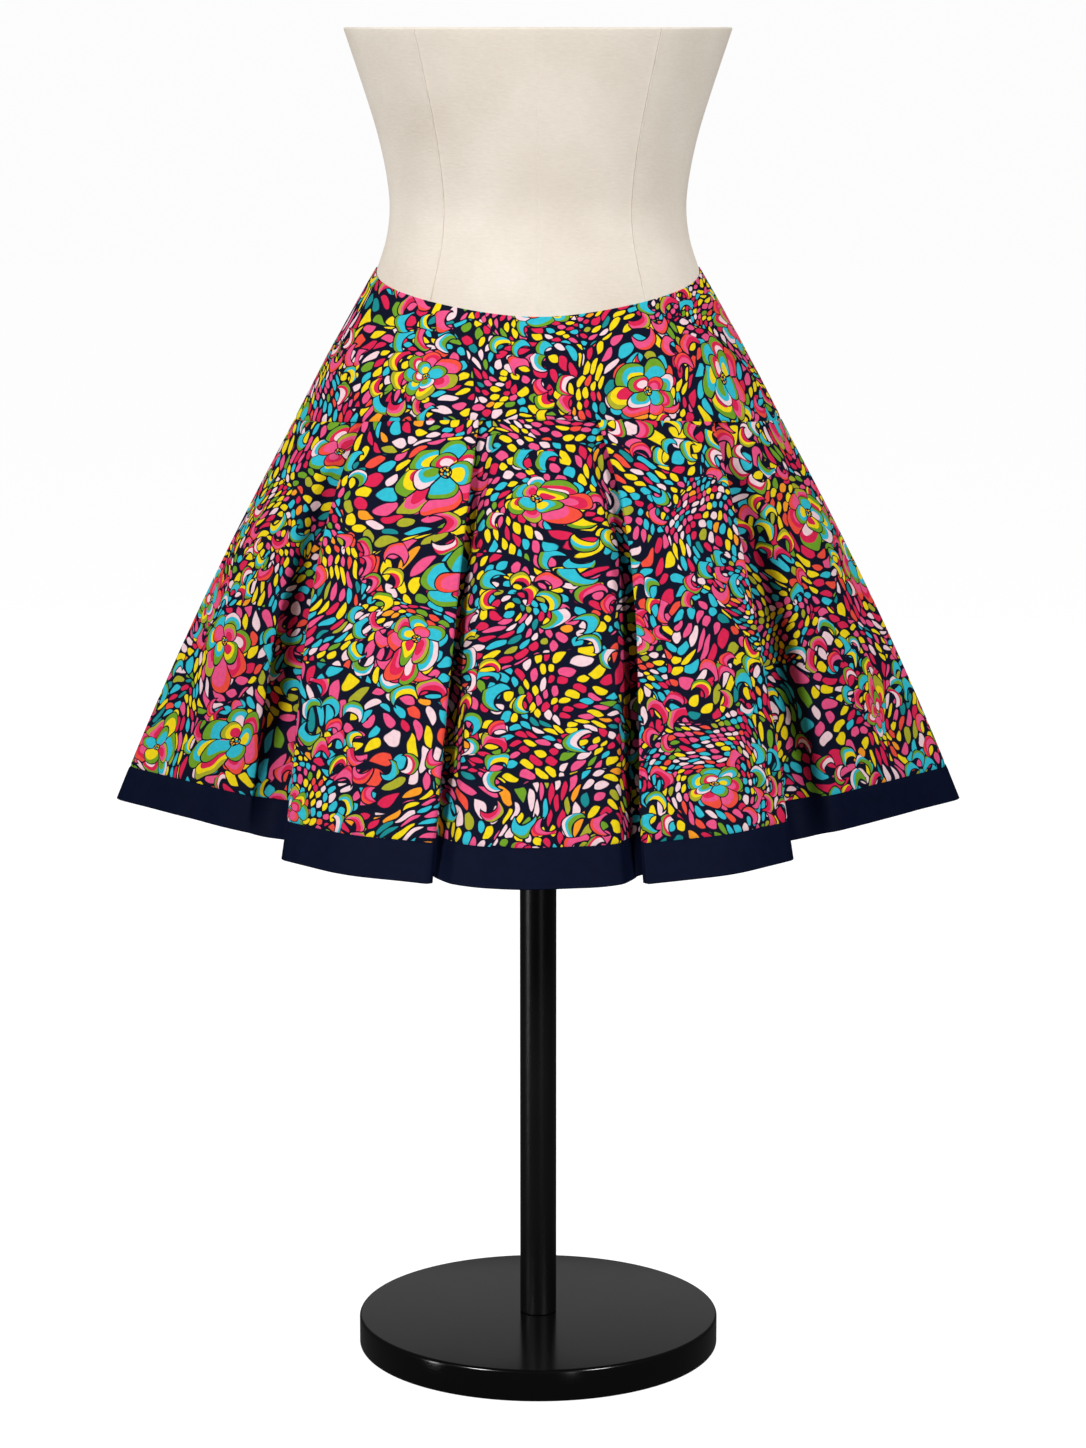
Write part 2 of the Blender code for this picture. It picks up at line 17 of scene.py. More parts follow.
import bmesh
import bpy
import numpy as np
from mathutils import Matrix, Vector


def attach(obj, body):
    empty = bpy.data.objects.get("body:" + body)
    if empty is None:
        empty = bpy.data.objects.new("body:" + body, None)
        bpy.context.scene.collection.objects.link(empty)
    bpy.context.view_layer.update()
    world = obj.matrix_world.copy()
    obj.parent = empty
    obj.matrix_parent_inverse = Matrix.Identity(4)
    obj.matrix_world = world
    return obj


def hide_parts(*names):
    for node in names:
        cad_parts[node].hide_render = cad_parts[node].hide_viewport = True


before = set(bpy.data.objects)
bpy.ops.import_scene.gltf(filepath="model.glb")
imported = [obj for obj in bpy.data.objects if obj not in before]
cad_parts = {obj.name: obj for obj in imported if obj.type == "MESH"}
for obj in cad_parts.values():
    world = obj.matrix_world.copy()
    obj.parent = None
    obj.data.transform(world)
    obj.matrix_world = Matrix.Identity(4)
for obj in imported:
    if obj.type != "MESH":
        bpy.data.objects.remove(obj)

LOG = logging.getLogger("skirt")
MM = 0.001
BODY = "skirt_and_form"
PULL_BODY = "zip_pull"
CLOTH_MAP = "flat_cloth"  # the UV map that holds a sheet's flat pattern, in metres
WHITE = (1.0, 1.0, 1.0, 1.0)
GOLDEN = 0.381966  # share of a turn by which one row of motifs is moved on from the last
FAR_OFF = 90.0  # mm, added to the distance of a motif that is left out
SAME_PLACE = 1e-6  # m, below which two points are one
# The cosine and the sine at each step round a rounded edge.
ROUNDING = [(math.cos(turn), math.sin(turn)) for turn in np.radians(range(0, 91, 15))]

Pair = tuple[float, float]
Triple = tuple[float, float, float]
Colour = tuple[float, float, float, float]
Source = Union["Term", float, tuple[float, ...]]


# ---- Colours ------------------------------------------------------------------------------------
def linear(red: int, green: int, blue: int) -> Colour:
    """A colour given as screen values from 0 to 255, as the renderer's own."""

    def channel(value: int) -> float:
        """One screen value as a share of light."""
        share = value / 255.0
        return share / 12.92 if share <= 0.04045 else ((share + 0.055) / 1.055) ** 2.4

    return (channel(red), channel(green), channel(blue), 1.0)


class Dye(Enum):
    """The colours of the printed cotton and of its plain band."""

    NAVY = linear(9, 14, 36)
    RED = linear(214, 34, 78)
    ROSE = linear(230, 82, 132)
    YELLOW = linear(238, 210, 22)
    TURQUOISE = linear(48, 184, 204)
    BLUSH = linear(238, 206, 212)
    GREEN = linear(108, 156, 38)
    OLIVE = linear(166, 166, 42)
    CORAL = linear(234, 76, 58)
    TEAL = linear(24, 136, 140)
    ORANGE = linear(242, 152, 36)
    BAND = linear(6, 13, 36)


class Share(NamedTuple):
    """How much of a choice of colours one of them takes."""

    dye: Dye
    parts: float


DAB_DYES = (
    Share(Dye.RED, 7), Share(Dye.YELLOW, 10), Share(Dye.ROSE, 8), Share(Dye.TURQUOISE, 8),
    Share(Dye.BLUSH, 6), Share(Dye.RED, 7), Share(Dye.GREEN, 4), Share(Dye.YELLOW, 9),
    Share(Dye.ROSE, 7), Share(Dye.CORAL, 4), Share(Dye.TURQUOISE, 7), Share(Dye.OLIVE, 3),
    Share(Dye.BLUSH, 5), Share(Dye.TEAL, 3), Share(Dye.ORANGE, 2),
)
RIM_DYES = (
    Share(Dye.GREEN, 4), Share(Dye.OLIVE, 2), Share(Dye.CORAL, 3), Share(Dye.GREEN, 2),
    Share(Dye.BLUSH, 1),
)
BODY_DYES = (
    Share(Dye.TURQUOISE, 4), Share(Dye.YELLOW, 2), Share(Dye.ROSE, 4), Share(Dye.RED, 3),
    Share(Dye.TURQUOISE, 2),
)
HEART_DYES = (
    Share(Dye.TURQUOISE, 2), Share(Dye.YELLOW, 1.5), Share(Dye.RED, 3), Share(Dye.ROSE, 3),
    Share(Dye.BLUSH, 1.5), Share(Dye.GREEN, 1),
)
SEED_DYES = (Share(Dye.YELLOW, 3), Share(Dye.ORANGE, 2), Share(Dye.TURQUOISE, 2))


# ---- Materials ----------------------------------------------------------------------------------
class Term:
    """A number, a vector or a colour that a finish's nodes work out, used in ordinary sums."""

    def __init__(self, finish: "Finish", socket: bpy.types.NodeSocket) -> None:
        """Takes a node's output."""
        self.finish, self.socket = finish, socket
        self.is_number = socket.type == "VALUE"

    def __add__(self, other: Source) -> "Term":
        """The sum of the two."""
        return self.finish.work("ADD", self, other)

    def __sub__(self, other: Source) -> "Term":
        """This less the other."""
        return self.finish.work("SUBTRACT", self, other)

    def __mul__(self, other: Source) -> "Term":
        """The product of the two."""
        return self.finish.work("MULTIPLY", self, other)

    def __truediv__(self, other: Source) -> "Term":
        """This divided by the other."""
        return self.finish.work("DIVIDE", self, other)

    def times(self, factor: Source, more: Source) -> "Term":
        """The product with a factor, with more added to it."""
        return self.finish.work("MULTIPLY_ADD", self, factor, more)

    def to(self, operation: str, *others: Source) -> "Term":
        """What any other operation makes of this and the others."""
        return self.finish.work(operation, self, *others)

    def inside(self, softness: float = 0.12) -> "Term":
        """1 where this distance in millimetres is below zero, with a narrow soft edge."""
        return self.finish.work("MULTIPLY_ADD", self, -0.5 / softness, 0.5, clamp=True)

    def parts(self) -> list["Term"]:
        """The three parts of a vector or of a colour."""
        made = self.finish.node("SeparateXYZ", self)
        return [Term(self.finish, socket) for socket in made.outputs]


@dataclass(frozen=True)
class Finish:
    """A material that puts its nodes together by short calls."""

    name: str
    flat: ClassVar[bool] = False  # whether its noise is read in the plane of the cloth only

    @cached_property
    def material(self) -> bpy.types.Material:
        """The material, made without nodes when it is first asked for."""
        made = bpy.data.materials.new(self.name)
        made.use_nodes = True
        made.node_tree.nodes.clear()
        return made

    def link(self, output: bpy.types.NodeSocket, socket: bpy.types.NodeSocket) -> None:
        """Links a node's output to another's socket."""
        self.material.node_tree.links.new(output, socket)

    def node(self, kind: str, *values: Source, **settings: object) -> bpy.types.Node:
        """A new shader node of that kind, with its settings and its first inputs."""
        made = self.material.node_tree.nodes.new("ShaderNode" + kind)
        for key, value in settings.items():
            setattr(made, key, value)
        for socket, value in zip(made.inputs, values):
            self.feed(socket, value)
        return made

    def feed(self, socket: bpy.types.NodeSocket, value: Source) -> None:
        """Links a socket to a term, or sets its value."""
        if isinstance(value, Term):
            self.link(value.socket, socket)
        else:
            socket.default_value = value

    def read(self, node: bpy.types.Node, output: str | int = 0) -> Term:
        """What a node gives."""
        return Term(self, node.outputs[output])

    def work(self, operation: str, *values: Source, clamp: bool = False) -> Term:
        """A Math node's result, or a Vector Math node's where a value is a vector."""
        if all(value.is_number for value in values if isinstance(value, Term)):
            return self.read(self.node("Math", *values, operation=operation, use_clamp=clamp))
        made = self.node("VectorMath", *values, operation=operation)
        return self.read(made, "Value" if operation == "LENGTH" else "Vector")

    def point(self, x: Source, y: Source, z: Source = 0.0) -> Term:
        """A vector from its parts."""
        return self.read(self.node("CombineXYZ", x, y, z))

    def turned(self, vector: Term, angle: Source) -> Term:
        """A vector turned in the plane of the cloth."""
        made = self.node("VectorRotate", vector, rotation_type="Z_AXIS")
        self.feed(made.inputs["Angle"], angle)
        return self.read(made)

    def shrunk(self, vector: Term, share: Term) -> Term:
        """A vector divided by a share in the plane of the cloth."""
        return vector / self.point(share, share, 1.0)

    def toned(self, colour: Source, tone: Term) -> Term:
        """A colour made darker or lighter by a tone."""
        return self.point(tone, tone, tone) * colour

    def noise(self, place: Term, length: float, detail: float = 0.0, output: str = "Fac") -> Term:
        """Smooth noise, about 0.5 in the middle.

        Args:
            place: where it is read.
            length: size of its patches, in the units of place.
            detail: how many finer octaves it has.
            output: Fac for a number, Color for three.

        Returns:
            The noise.
        """
        made = self.node("TexNoise", place, noise_dimensions="2D" if self.flat else "3D")
        made.inputs["Scale"].default_value = 1.0 / length
        made.inputs["Detail"].default_value = detail
        return self.read(made, output)

    def blend(self, share: Source, low: Source, high: Source) -> Term:
        """A mix of two colours."""
        made = self.node("Mix", data_type="RGBA")
        for index, value in ((0, share), (6, low), (7, high)):
            self.feed(made.inputs[index], value)
        return self.read(made, 2)

    def pick(self, chance: Term, shares: Sequence[Share]) -> Term:
        """One of several dyes.

        Args:
            chance: a number from 0 to 1 that chooses.
            shares: the dyes and how much each one takes.

        Returns:
            The colour chosen.
        """
        ramp = self.node("ValToRGB", chance)
        band = ramp.color_ramp
        band.interpolation = "CONSTANT"
        whole = sum(share.parts for share in shares)
        at = 0.0
        for index, share in enumerate(shares):
            stop = band.elements[0] if index == 0 else band.elements.new(at)
            stop.position = at
            stop.color = share.dye.value
            at += share.parts / whole
        band.elements.remove(band.elements[-1])
        return self.read(ramp)

    def bump(
        self, height: Term, distance: float, strength: float, after: Term | None = None
    ) -> Term:
        """A normal bent by a height map.

        Args:
            height: the height, from 0 to 1.
            distance: what a height of 1 stands for, in metres.
            strength: how much of it shows.
            after: another normal that it is laid on.

        Returns:
            The bent normal.
        """
        made = self.node("Bump")
        made.inputs["Strength"].default_value = strength
        made.inputs["Distance"].default_value = distance
        self.feed(made.inputs["Height"], height)
        if after is not None:
            self.feed(made.inputs["Normal"], after)
        return self.read(made)

    def object_place(self) -> Term:
        """The place on the object, in metres."""
        return self.read(self.node("TexCoord"), "Object")

    def close(
        self, colour: Source, roughness: Source, normal: Term | None, **constants: object
    ) -> bpy.types.Material:
        """Closes the material with a Principled shader.

        Args:
            colour: its base colour.
            roughness: its roughness.
            normal: its bent normal, if it has one.
            constants: sockets set to one value all over, with _ for each space in their names.

        Returns:
            The finished material.
        """
        shader = self.node("BsdfPrincipled")
        self.feed(shader.inputs["Base Color"], colour)
        self.feed(shader.inputs["Roughness"], roughness)
        if normal is not None:
            self.feed(shader.inputs["Normal"], normal)
        for key, value in constants.items():
            shader.inputs[key.replace("_", " ")].default_value = value
        output = self.node("OutputMaterial")
        self.link(shader.outputs[0], output.inputs["Surface"])
        return self.material


@dataclass(frozen=True)
class Cotton(Finish):
    """Woven cotton, whose place is read on the flat cloth in millimetres."""

    flat: ClassVar[bool] = True
    thread: float = 0.36  # pitch of the weave

    def cloth_place(self) -> Term:
        """The place on the flat cloth."""
        return self.read(self.node("UVMap", uv_map=CLOTH_MAP)) * (1.0 / MM, 1.0 / MM, 0.0)

    def weave(self, place: Term) -> Term:
        """A plain weave's normal, with a slub here and there.

        Args:
            place: the place on the flat cloth.

        Returns:
            The bent normal.
        """
        x, y, _ = place.parts()
        warp = (x * (math.pi / self.thread)).to("SINE")
        weft = (y * (math.pi / self.thread)).to("SINE")
        slub = self.noise(place * (1.0, 6.0, 0.0), 5.0, 2.0)
        return self.bump((warp * weft).times(0.25, slub), 0.12 * MM, 0.35)


class Scattered(NamedTuple):
    """What a scatter of motifs gives at each place on the cloth."""

    grid: Term  # place in cells
    local: Term  # place from the middle of the nearest motif, in millimetres
    middle: Term  # the middle of that motif, in millimetres
    first: Term  # three chances of its own, from 0 to 1
    second: Term
    third: Term


class Ring(NamedTuple):
    """A ring of petals in a rosette, in millimetres."""

    radius: float
    petal: float
    count: int
    phase: float


@dataclass(frozen=True)
class PrintedCotton(Cotton):
    """Navy cotton printed with flowing leaf dabs, striped arches and loose rosettes.

    Sizes are in millimetres on the flat cloth. A chance is stretched and moved into the range that
    it is used for, as in chance.times(stretch, least).
    """

    name: str = "print_cloth"
    reverse: bool = False  # the inside of the cloth, where the print shows through paler
    wobble: Pair = (16.0, 5.0)  # length and reach of the hand-drawn unevenness
    flow: Pair = (62.0, 34.0)  # length and reach of the bending of the rows
    patch: Pair = (96.0, 84.0)  # how far apart the swirls of dabs are
    swirl_looseness: float = 0.8
    dab_pitch: Pair = (5.8, 8.2)  # from row to row, and along a row
    dab_size: Triple = (4.15, 2.1, 0.5)  # half length, half width, rounding
    arch_pitch: Pair = (18.0, 15.0)
    arch_looseness: float = 0.55
    arch_sizes: Pair = (7.8, 6.6)  # radii of an arch and of the round bite taken out of it
    arch_bite: Triple = (1.6, 5.4, 0.0)  # from the bite's middle to the arch's
    arch_stripes: Pair = (8.1, 6.3)  # how far out its body and its heart reach
    arch_stripes_middle: Triple = (-0.6, 2.4, 0.0)
    arch_flow: Pair = (60.0, 9.0)  # length and reach, in radians, of the arches' turning
    arch_drift: Pair = (48.0, 0.625)  # length of the drifts, and the noise where they begin
    rosette_share: float = 0.56  # of the swirls that have a rosette
    rings: tuple[Ring, ...] = (Ring(21.0, 11.0, 7, 0.0), Ring(11.5, 8.8, 4, 0.9))
    heart: float = 5.2  # radius of a rosette's middle
    seed: Pair = (2.6, 0.36)  # pitch of the seeds in it, and a seed's radius as a share of that
    outline: float = 1.0  # navy line round each motif

    def bent(self, place: Term, length: float, reach: float) -> Term:
        """The place moved about by smooth noise."""
        moved = self.noise(place, length, output="Color")
        return moved.times((reach, reach, 0.0), place - (reach / 2, reach / 2, 0.0))

    def cells(self, place: Term, looseness: float, feature: str = "F1") -> bpy.types.Node:
        """Scattered cells about one unit apart: 0 is an even grid, 1 the loosest."""
        made = self.node("TexVoronoi", place, voronoi_dimensions="2D", feature=feature)
        made.inputs["Scale"].default_value = 1.0
        made.inputs["Randomness"].default_value = looseness
        return made

    def rim(self, grid: Term, looseness: float) -> Term:
        """Distance to the edge of a cell."""
        return self.read(self.cells(grid, looseness, "DISTANCE_TO_EDGE"), "Distance")

    def scatter(self, place: Term, pitch: Pair, looseness: float, shift: Pair) -> Scattered:
        """Motifs scattered over the cloth.

        Args:
            place: the place on the cloth.
            pitch: how far apart the motifs are, along and across.
            looseness: 0 for an even grid, 1 for the loosest.
            shift: moves the grid, in cells, so that two scatters differ.

        Returns:
            The place from the nearest motif's middle, and that motif's own chances.
        """
        grid = place.times((1.0 / pitch[0], 1.0 / pitch[1], 0.0), (*shift, 0.0))
        cell = self.cells(grid, looseness)
        local = (grid - self.read(cell, "Position")) * (*pitch, 0.0)
        return Scattered(grid, local, place - local, *self.read(cell, "Color").parts())

    def leaf(self, local: Term, half_length: float, half_width: float, rounding: float) -> Term:
        """Distance to a pointed leaf: two arcs that meet at its ends, with the ends rounded."""
        length, width = half_length - rounding, half_width - rounding
        radius = (length**2 + width**2) / (2.0 * width)
        x, y, _ = local.to("ABSOLUTE").parts()
        return self.point(x, y + (radius - width)).to("LENGTH") - (radius + rounding)

    def striped(self, distance: Term, body: float, heart: float, chance: Term) -> Term:
        """A motif's stripes: its rim, then its body and its heart within these distances."""
        rim_dye, body_dye, heart_dye = (
            self.pick(chance, dyes) for dyes in (RIM_DYES, BODY_DYES, HEART_DYES)
        )
        tint = self.blend((distance - body).inside(), rim_dye, body_dye)
        return self.blend((distance - heart).inside(), tint, heart_dye)

    def laid(self, under: Term, halo: Term, shape: Term, colour: Term) -> Term:
        """A motif laid on what is printed so far, with a navy line round it."""
        ground = self.blend(halo.inside(), under, Dye.NAVY.value)
        return self.blend(shape.inside(), ground, colour)

    def dabs(self, swirl: Scattered) -> Term:
        """The cloth with its small dabs, which run in rings round the middle of each swirl.

        Args:
            swirl: the swirls' scatter.

        Returns:
            The colour.
        """
        depth, width = self.dab_pitch
        radius = swirl.local.to("LENGTH") / swirl.second.times(0.9, 0.86)
        x, y, _ = swirl.local.parts()
        ring = (radius / depth).to("FLOOR")
        middle = ring.times(depth, depth / 2)
        count = middle.times(math.tau / width, 0.2).to("ROUND")
        spun = ring.times(GOLDEN, y.to("ARCTAN2", x) / math.tau * count)
        slot = spun.to("FLOOR")
        span = self.work("DIVIDE", math.tau, count) * radius
        aside, outward = (spun - slot - 0.5) * span, radius - middle
        which = self.point(ring, slot.to("FLOORED_MODULO", count), swirl.first * 97.0)
        own = self.node("TexWhiteNoise", which, noise_dimensions="3D")
        first, second, third = self.read(own, "Color").parts()
        moved = self.point(first.times(1.4, aside - 0.7), second.times(1.2, outward - 0.6))
        local = self.turned(moved, third.times(0.5, swirl.third.times(1.3, -0.9)))
        leaf = self.leaf(self.shrunk(local, second.times(0.35, 0.82)), *self.dab_size)
        to_side = span.times(-0.5, aside.to("ABSOLUTE"))
        border = to_side.to("SMOOTH_MAX", outward.to("ABSOLUTE") - depth / 2, 0.8)
        shape = leaf.to("SMOOTH_MAX", border + 0.35, 0.5)
        edge = self.rim(swirl.grid, self.swirl_looseness).times(-self.patch[1], 0.6)
        shape = shape.to("SMOOTH_MAX", edge, 1.0)
        chance = first.times(0.72, swirl.third).to("FRACT")
        return self.blend(shape.inside(), Dye.NAVY.value, self.pick(chance, DAB_DYES))

    def arches(self, under: Term, drawn: Term) -> Term:
        """The print with striped crescents laid on, which overlap like scales in drifts.

        Args:
            under: what is printed so far.
            drawn: the place on the cloth, made uneven.

        Returns:
            The colour.
        """
        motif = self.scatter(drawn, self.arch_pitch, self.arch_looseness, (3.7, 8.1))
        (outer, bite), (flow_length, flow_reach) = self.arch_sizes, self.arch_flow
        flow = self.noise(motif.middle, flow_length).times(flow_reach, motif.first)
        local = self.shrunk(self.turned(motif.local, flow), motif.second.times(0.35, 0.85))
        kept = self.work("SUBTRACT", bite, (local + self.arch_bite).to("LENGTH"))
        shape = (local.to("LENGTH") - outer).to("SMOOTH_MAX", kept, 0.8)
        edge = self.rim(motif.grid, self.arch_looseness).times(-16.0, 0.4)
        shape = shape.to("SMOOTH_MAX", edge, 0.8)
        drift_length, least = self.arch_drift
        drift = motif.third.times(0.16, self.noise(motif.middle, drift_length))
        shape = drift.to("LESS_THAN", least).times(FAR_OFF, shape)
        inner = (local + self.arch_stripes_middle).to("LENGTH")
        chance = motif.second.times(0.35, flow).to("FRACT")
        stripes = self.striped(inner, *self.arch_stripes, chance)
        return self.laid(under, shape - self.outline, shape, stripes)

    def rosettes(self, under: Term, swirl: Scattered) -> Term:
        """The print with loose rosettes in the middle of some swirls, the outer ring laid first.

        Args:
            under: what is printed so far.
            swirl: the swirls' scatter.

        Returns:
            The colour.
        """
        local = self.shrunk(swirl.local, swirl.second.times(0.35, 0.62))
        local = self.turned(local, swirl.third * math.tau)
        left_out = swirl.third.to("GREATER_THAN", self.rosette_share)
        radius = left_out.times(FAR_OFF, local.to("LENGTH"))
        x, y, _ = local.parts()
        angle, paint = y.to("ARCTAN2", x), under
        for index, ring in enumerate(self.rings):
            paint = self.petals(paint, ring, index, radius, angle, swirl.first)
        paint = self.blend((radius - self.heart).inside(), paint, Dye.NAVY.value)
        pitch, size = self.seed
        seeds = self.cells(local / (pitch, pitch, 1.0), 0.6)
        seed = (self.read(seeds, "Distance") - size).to("MAXIMUM", radius - (self.heart - 1.0))
        chance = self.read(seeds, "Color").parts()[0]
        return self.blend(seed.inside(0.05), paint, self.pick(chance, SEED_DYES))

    def petals(
        self, under: Term, ring: Ring, index: int, radius: Term, angle: Term, chance: Term
    ) -> Term:
        """One ring of petals, each with a rim, a body and a heart of its own colours.

        Args:
            under: what is printed so far.
            ring: the ring's sizes.
            index: its number, the outer ring first.
            radius: distance from the rosette's middle.
            angle: angle round the rosette's middle.
            chance: the rosette's own chance.

        Returns:
            The print with the ring laid on.
        """
        sector = math.tau / ring.count
        spun = angle + ring.phase
        across = spun.to("WRAP", sector / 2, -sector / 2)
        number = ((spun + (sector / 2 + 10 * math.tau)) / sector).to("FLOOR")
        own = number.times(0.13, chance.times(3.0, index * GOLDEN)).to("FRACT")
        place = self.point(radius * across.to("COSINE") - ring.radius, radius * across.to("SINE"))
        reach = place.to("LENGTH")
        to_edge = self.work("SUBTRACT", sector / 2, across.to("ABSOLUTE")).to("SINE") * radius
        shape = (reach - ring.petal).to("MAXIMUM", self.work("SUBTRACT", 0.6, to_edge))
        heart = (place + (ring.petal * 0.3, ring.petal * 0.22, 0.0)).to("LENGTH")
        tint = self.striped(heart, ring.petal * 0.93, ring.petal * 0.55, own)
        halo = (reach - (ring.petal + self.outline)).to("MINIMUM", radius - ring.radius * 0.9)
        return self.laid(under, halo, shape, tint)

    def make(self) -> bpy.types.Material:
        """The finished material."""
        place = self.cloth_place()
        drawn = self.bent(place, *self.wobble)
        flowing = self.bent(drawn, *self.flow)
        swirl = self.scatter(flowing, self.patch, self.swirl_looseness, (0.3, 0.7))
        paint = self.rosettes(self.arches(self.dabs(swirl), drawn), swirl)
        paint = self.toned(paint, self.noise(place, 3.2, 2.0).times(0.26, 0.80))
        if self.reverse:
            paint = self.blend(0.55, paint, linear(150, 146, 160))
        looks = {"Sheen_Weight": 0.015, "Sheen_Roughness": 0.5, "Specular_IOR_Level": 0.08}
        return self.close(paint, 0.78, self.weave(place), **looks)


@dataclass(frozen=True)
class PlainCotton(Cotton):
    """Plain dyed cotton, as the hem band."""

    name: str = "navy_cloth"

    def make(self) -> bpy.types.Material:
        """The finished material."""
        place = self.cloth_place()
        fade = self.noise(place, 9.0, 3.0).times(0.5, 0.75)
        paint = self.toned(Dye.BAND.value[:3], fade)
        return self.close(paint, 0.7, self.weave(place), Specular_IOR_Level=0.06)


@dataclass(frozen=True)
class Linen(Finish):
    """The off-white cloth that covers the dress form, with fine uneven fibres."""

    name: str = "form_linen"
    colour: Colour = linear(233, 224, 212)
    shade: Colour = linear(212, 200, 184)

    def make(self) -> bpy.types.Material:
        """The finished material, worked out in millimetres."""
        place = self.object_place() * (1.0 / MM, 1.0 / MM, 1.0 / MM)
        cloud = self.noise(place, 70.0, 3.0)
        fibres = self.noise(self.turned(place, 0.6) * (1.0, 1.0, 3.0), 4.5, 4.0)
        colour = self.blend(fibres.times(0.6, cloud.times(1.3, -0.55)), self.colour, self.shade)
        threads = self.noise(place * (1.0, 1.0, 5.0), 1.1, 2.0)
        normal = self.bump(fibres, 0.5 * MM, 0.35, self.bump(threads, 0.25 * MM, 0.35))
        looks = {"Sheen_Weight": 0.12, "Sheen_Roughness": 0.6, "Specular_IOR_Level": 0.2}
        return self.close(colour, 0.88, normal, **looks)


@dataclass(frozen=True)
class SatinPaint(Finish):
    """Black paint on the stand: satin on the pole, and polished on the base."""

    name: str = "stand_black"
    colour: Colour = linear(7, 7, 7)
    polished: float = 0.15
    satin: float = 0.36
    base_top: float = 24.75 * MM  # below this height it is polished
    grain: float = 0.7 * MM
    relief: float = 0.02 * MM

    def make(self) -> bpy.types.Material:
        """The finished material."""
        place = self.object_place()
        is_pole = place.parts()[2].to("GREATER_THAN", self.base_top)
        roughness = is_pole.times(self.satin - self.polished, self.polished - 0.04)
        roughness = self.noise(place, 60.0 * MM, 3.0).times(0.08, roughness)
        normal = self.bump(self.noise(place, self.grain, 2.0), self.relief, 0.3)
        return self.close(self.colour, roughness, normal, Specular_IOR_Level=0.5)


@dataclass(frozen=True)
class WovenTape(Finish):
    """The woven tape of the zip."""

    name: str = "zip_tape"
    colour: Colour = linear(24, 30, 52)
    rib: float = 0.8 * MM
    thread: float = 0.5 * MM

    def make(self) -> bpy.types.Material:
        """The finished material."""
        place = self.object_place()
        x, _, z = place.parts()
        ribs = (x * (math.tau / self.rib)).to("SINE")
        picks = (z * (math.tau / self.thread)).to("SINE")
        tone = self.noise(place, 6.0 * MM, 2.0).times(0.5, 0.75)
        normal = self.bump(picks.times(0.3, ribs), 0.1 * MM, 0.5)
        return self.close(self.toned(self.colour[:3], tone), 0.7, normal, Specular_IOR_Level=0.3)


@dataclass(frozen=True)
class Enamel(Finish):
    """Navy enamel on the zip's slider and tab, a little worn."""

    name: str = "zip_enamel"
    colour: Colour = linear(30, 36, 58)

    def make(self) -> bpy.types.Material:
        """The finished material."""
        wear = self.noise(self.object_place(), 1.5 * MM, 3.0)
        normal = self.bump(wear, 0.02 * MM, 0.4)
        looks = {"Specular_IOR_Level": 0.5, "Coat_Weight": 0.4}
        return self.close(self.colour, wear.times(0.2, 0.2), normal, **looks)


@dataclass(frozen=True)
class StudioPaper(Finish):
    """The pale seamless floor, lit from within so that it stays even far from the lamps."""

    name: str = "studio_paper"
    colour: Colour = linear(110, 110, 110)
    glow: float = 0.955

    def make(self) -> bpy.types.Material:
        """The finished material."""
        looks = {"Specular_IOR_Level": 0.0, "Emission_Color": WHITE, "Emission_Strength": self.glow}
        return self.close(self.colour, 0.9, None, **looks)


# ---- Shapes that several pieces share -----------------------------------------------------------
Sides = Triple  # centre front, side, centre back


def lerp(start: float, end: float, share: float) -> float:
    """A value a share of the way from start to end."""
    return start + (end - start) * share


def around(theta: float, values: Sides) -> float:
    """A value that passes smoothly from the centre front to the side to the centre back."""
    front, side, back = values
    return lerp(front if math.cos(theta) > 0.0 else back, side, math.sin(theta) ** 2)


def ring_point(theta: float, sizes: Sides, squareness: float, height: float) -> Vector:
    """A point of a level ring that is squarer or more pointed than an ellipse.

    Args:
        theta: angle round the ring.
        sizes: its half width, front depth and back depth.
        squareness: 2 is an ellipse, more is squarer.
        height: its height.

    Returns:
        The point.
    """
    half_width, front, back = sizes

    def rounded(value: float) -> float:
        """The cosine or sine, raised to the ring's power."""
        return math.copysign(abs(value) ** (2.0 / squareness), value)

    sine, cosine = math.sin(theta), math.cos(theta)
    depth = front if cosine > 0.0 else back
    return Vector((half_width * rounded(sine), -depth * rounded(cosine), height))


class FormSection(NamedTuple):
    """A level section of the dress form, in millimetres."""

    height: float
    half_width: float
    front: float
    back: float


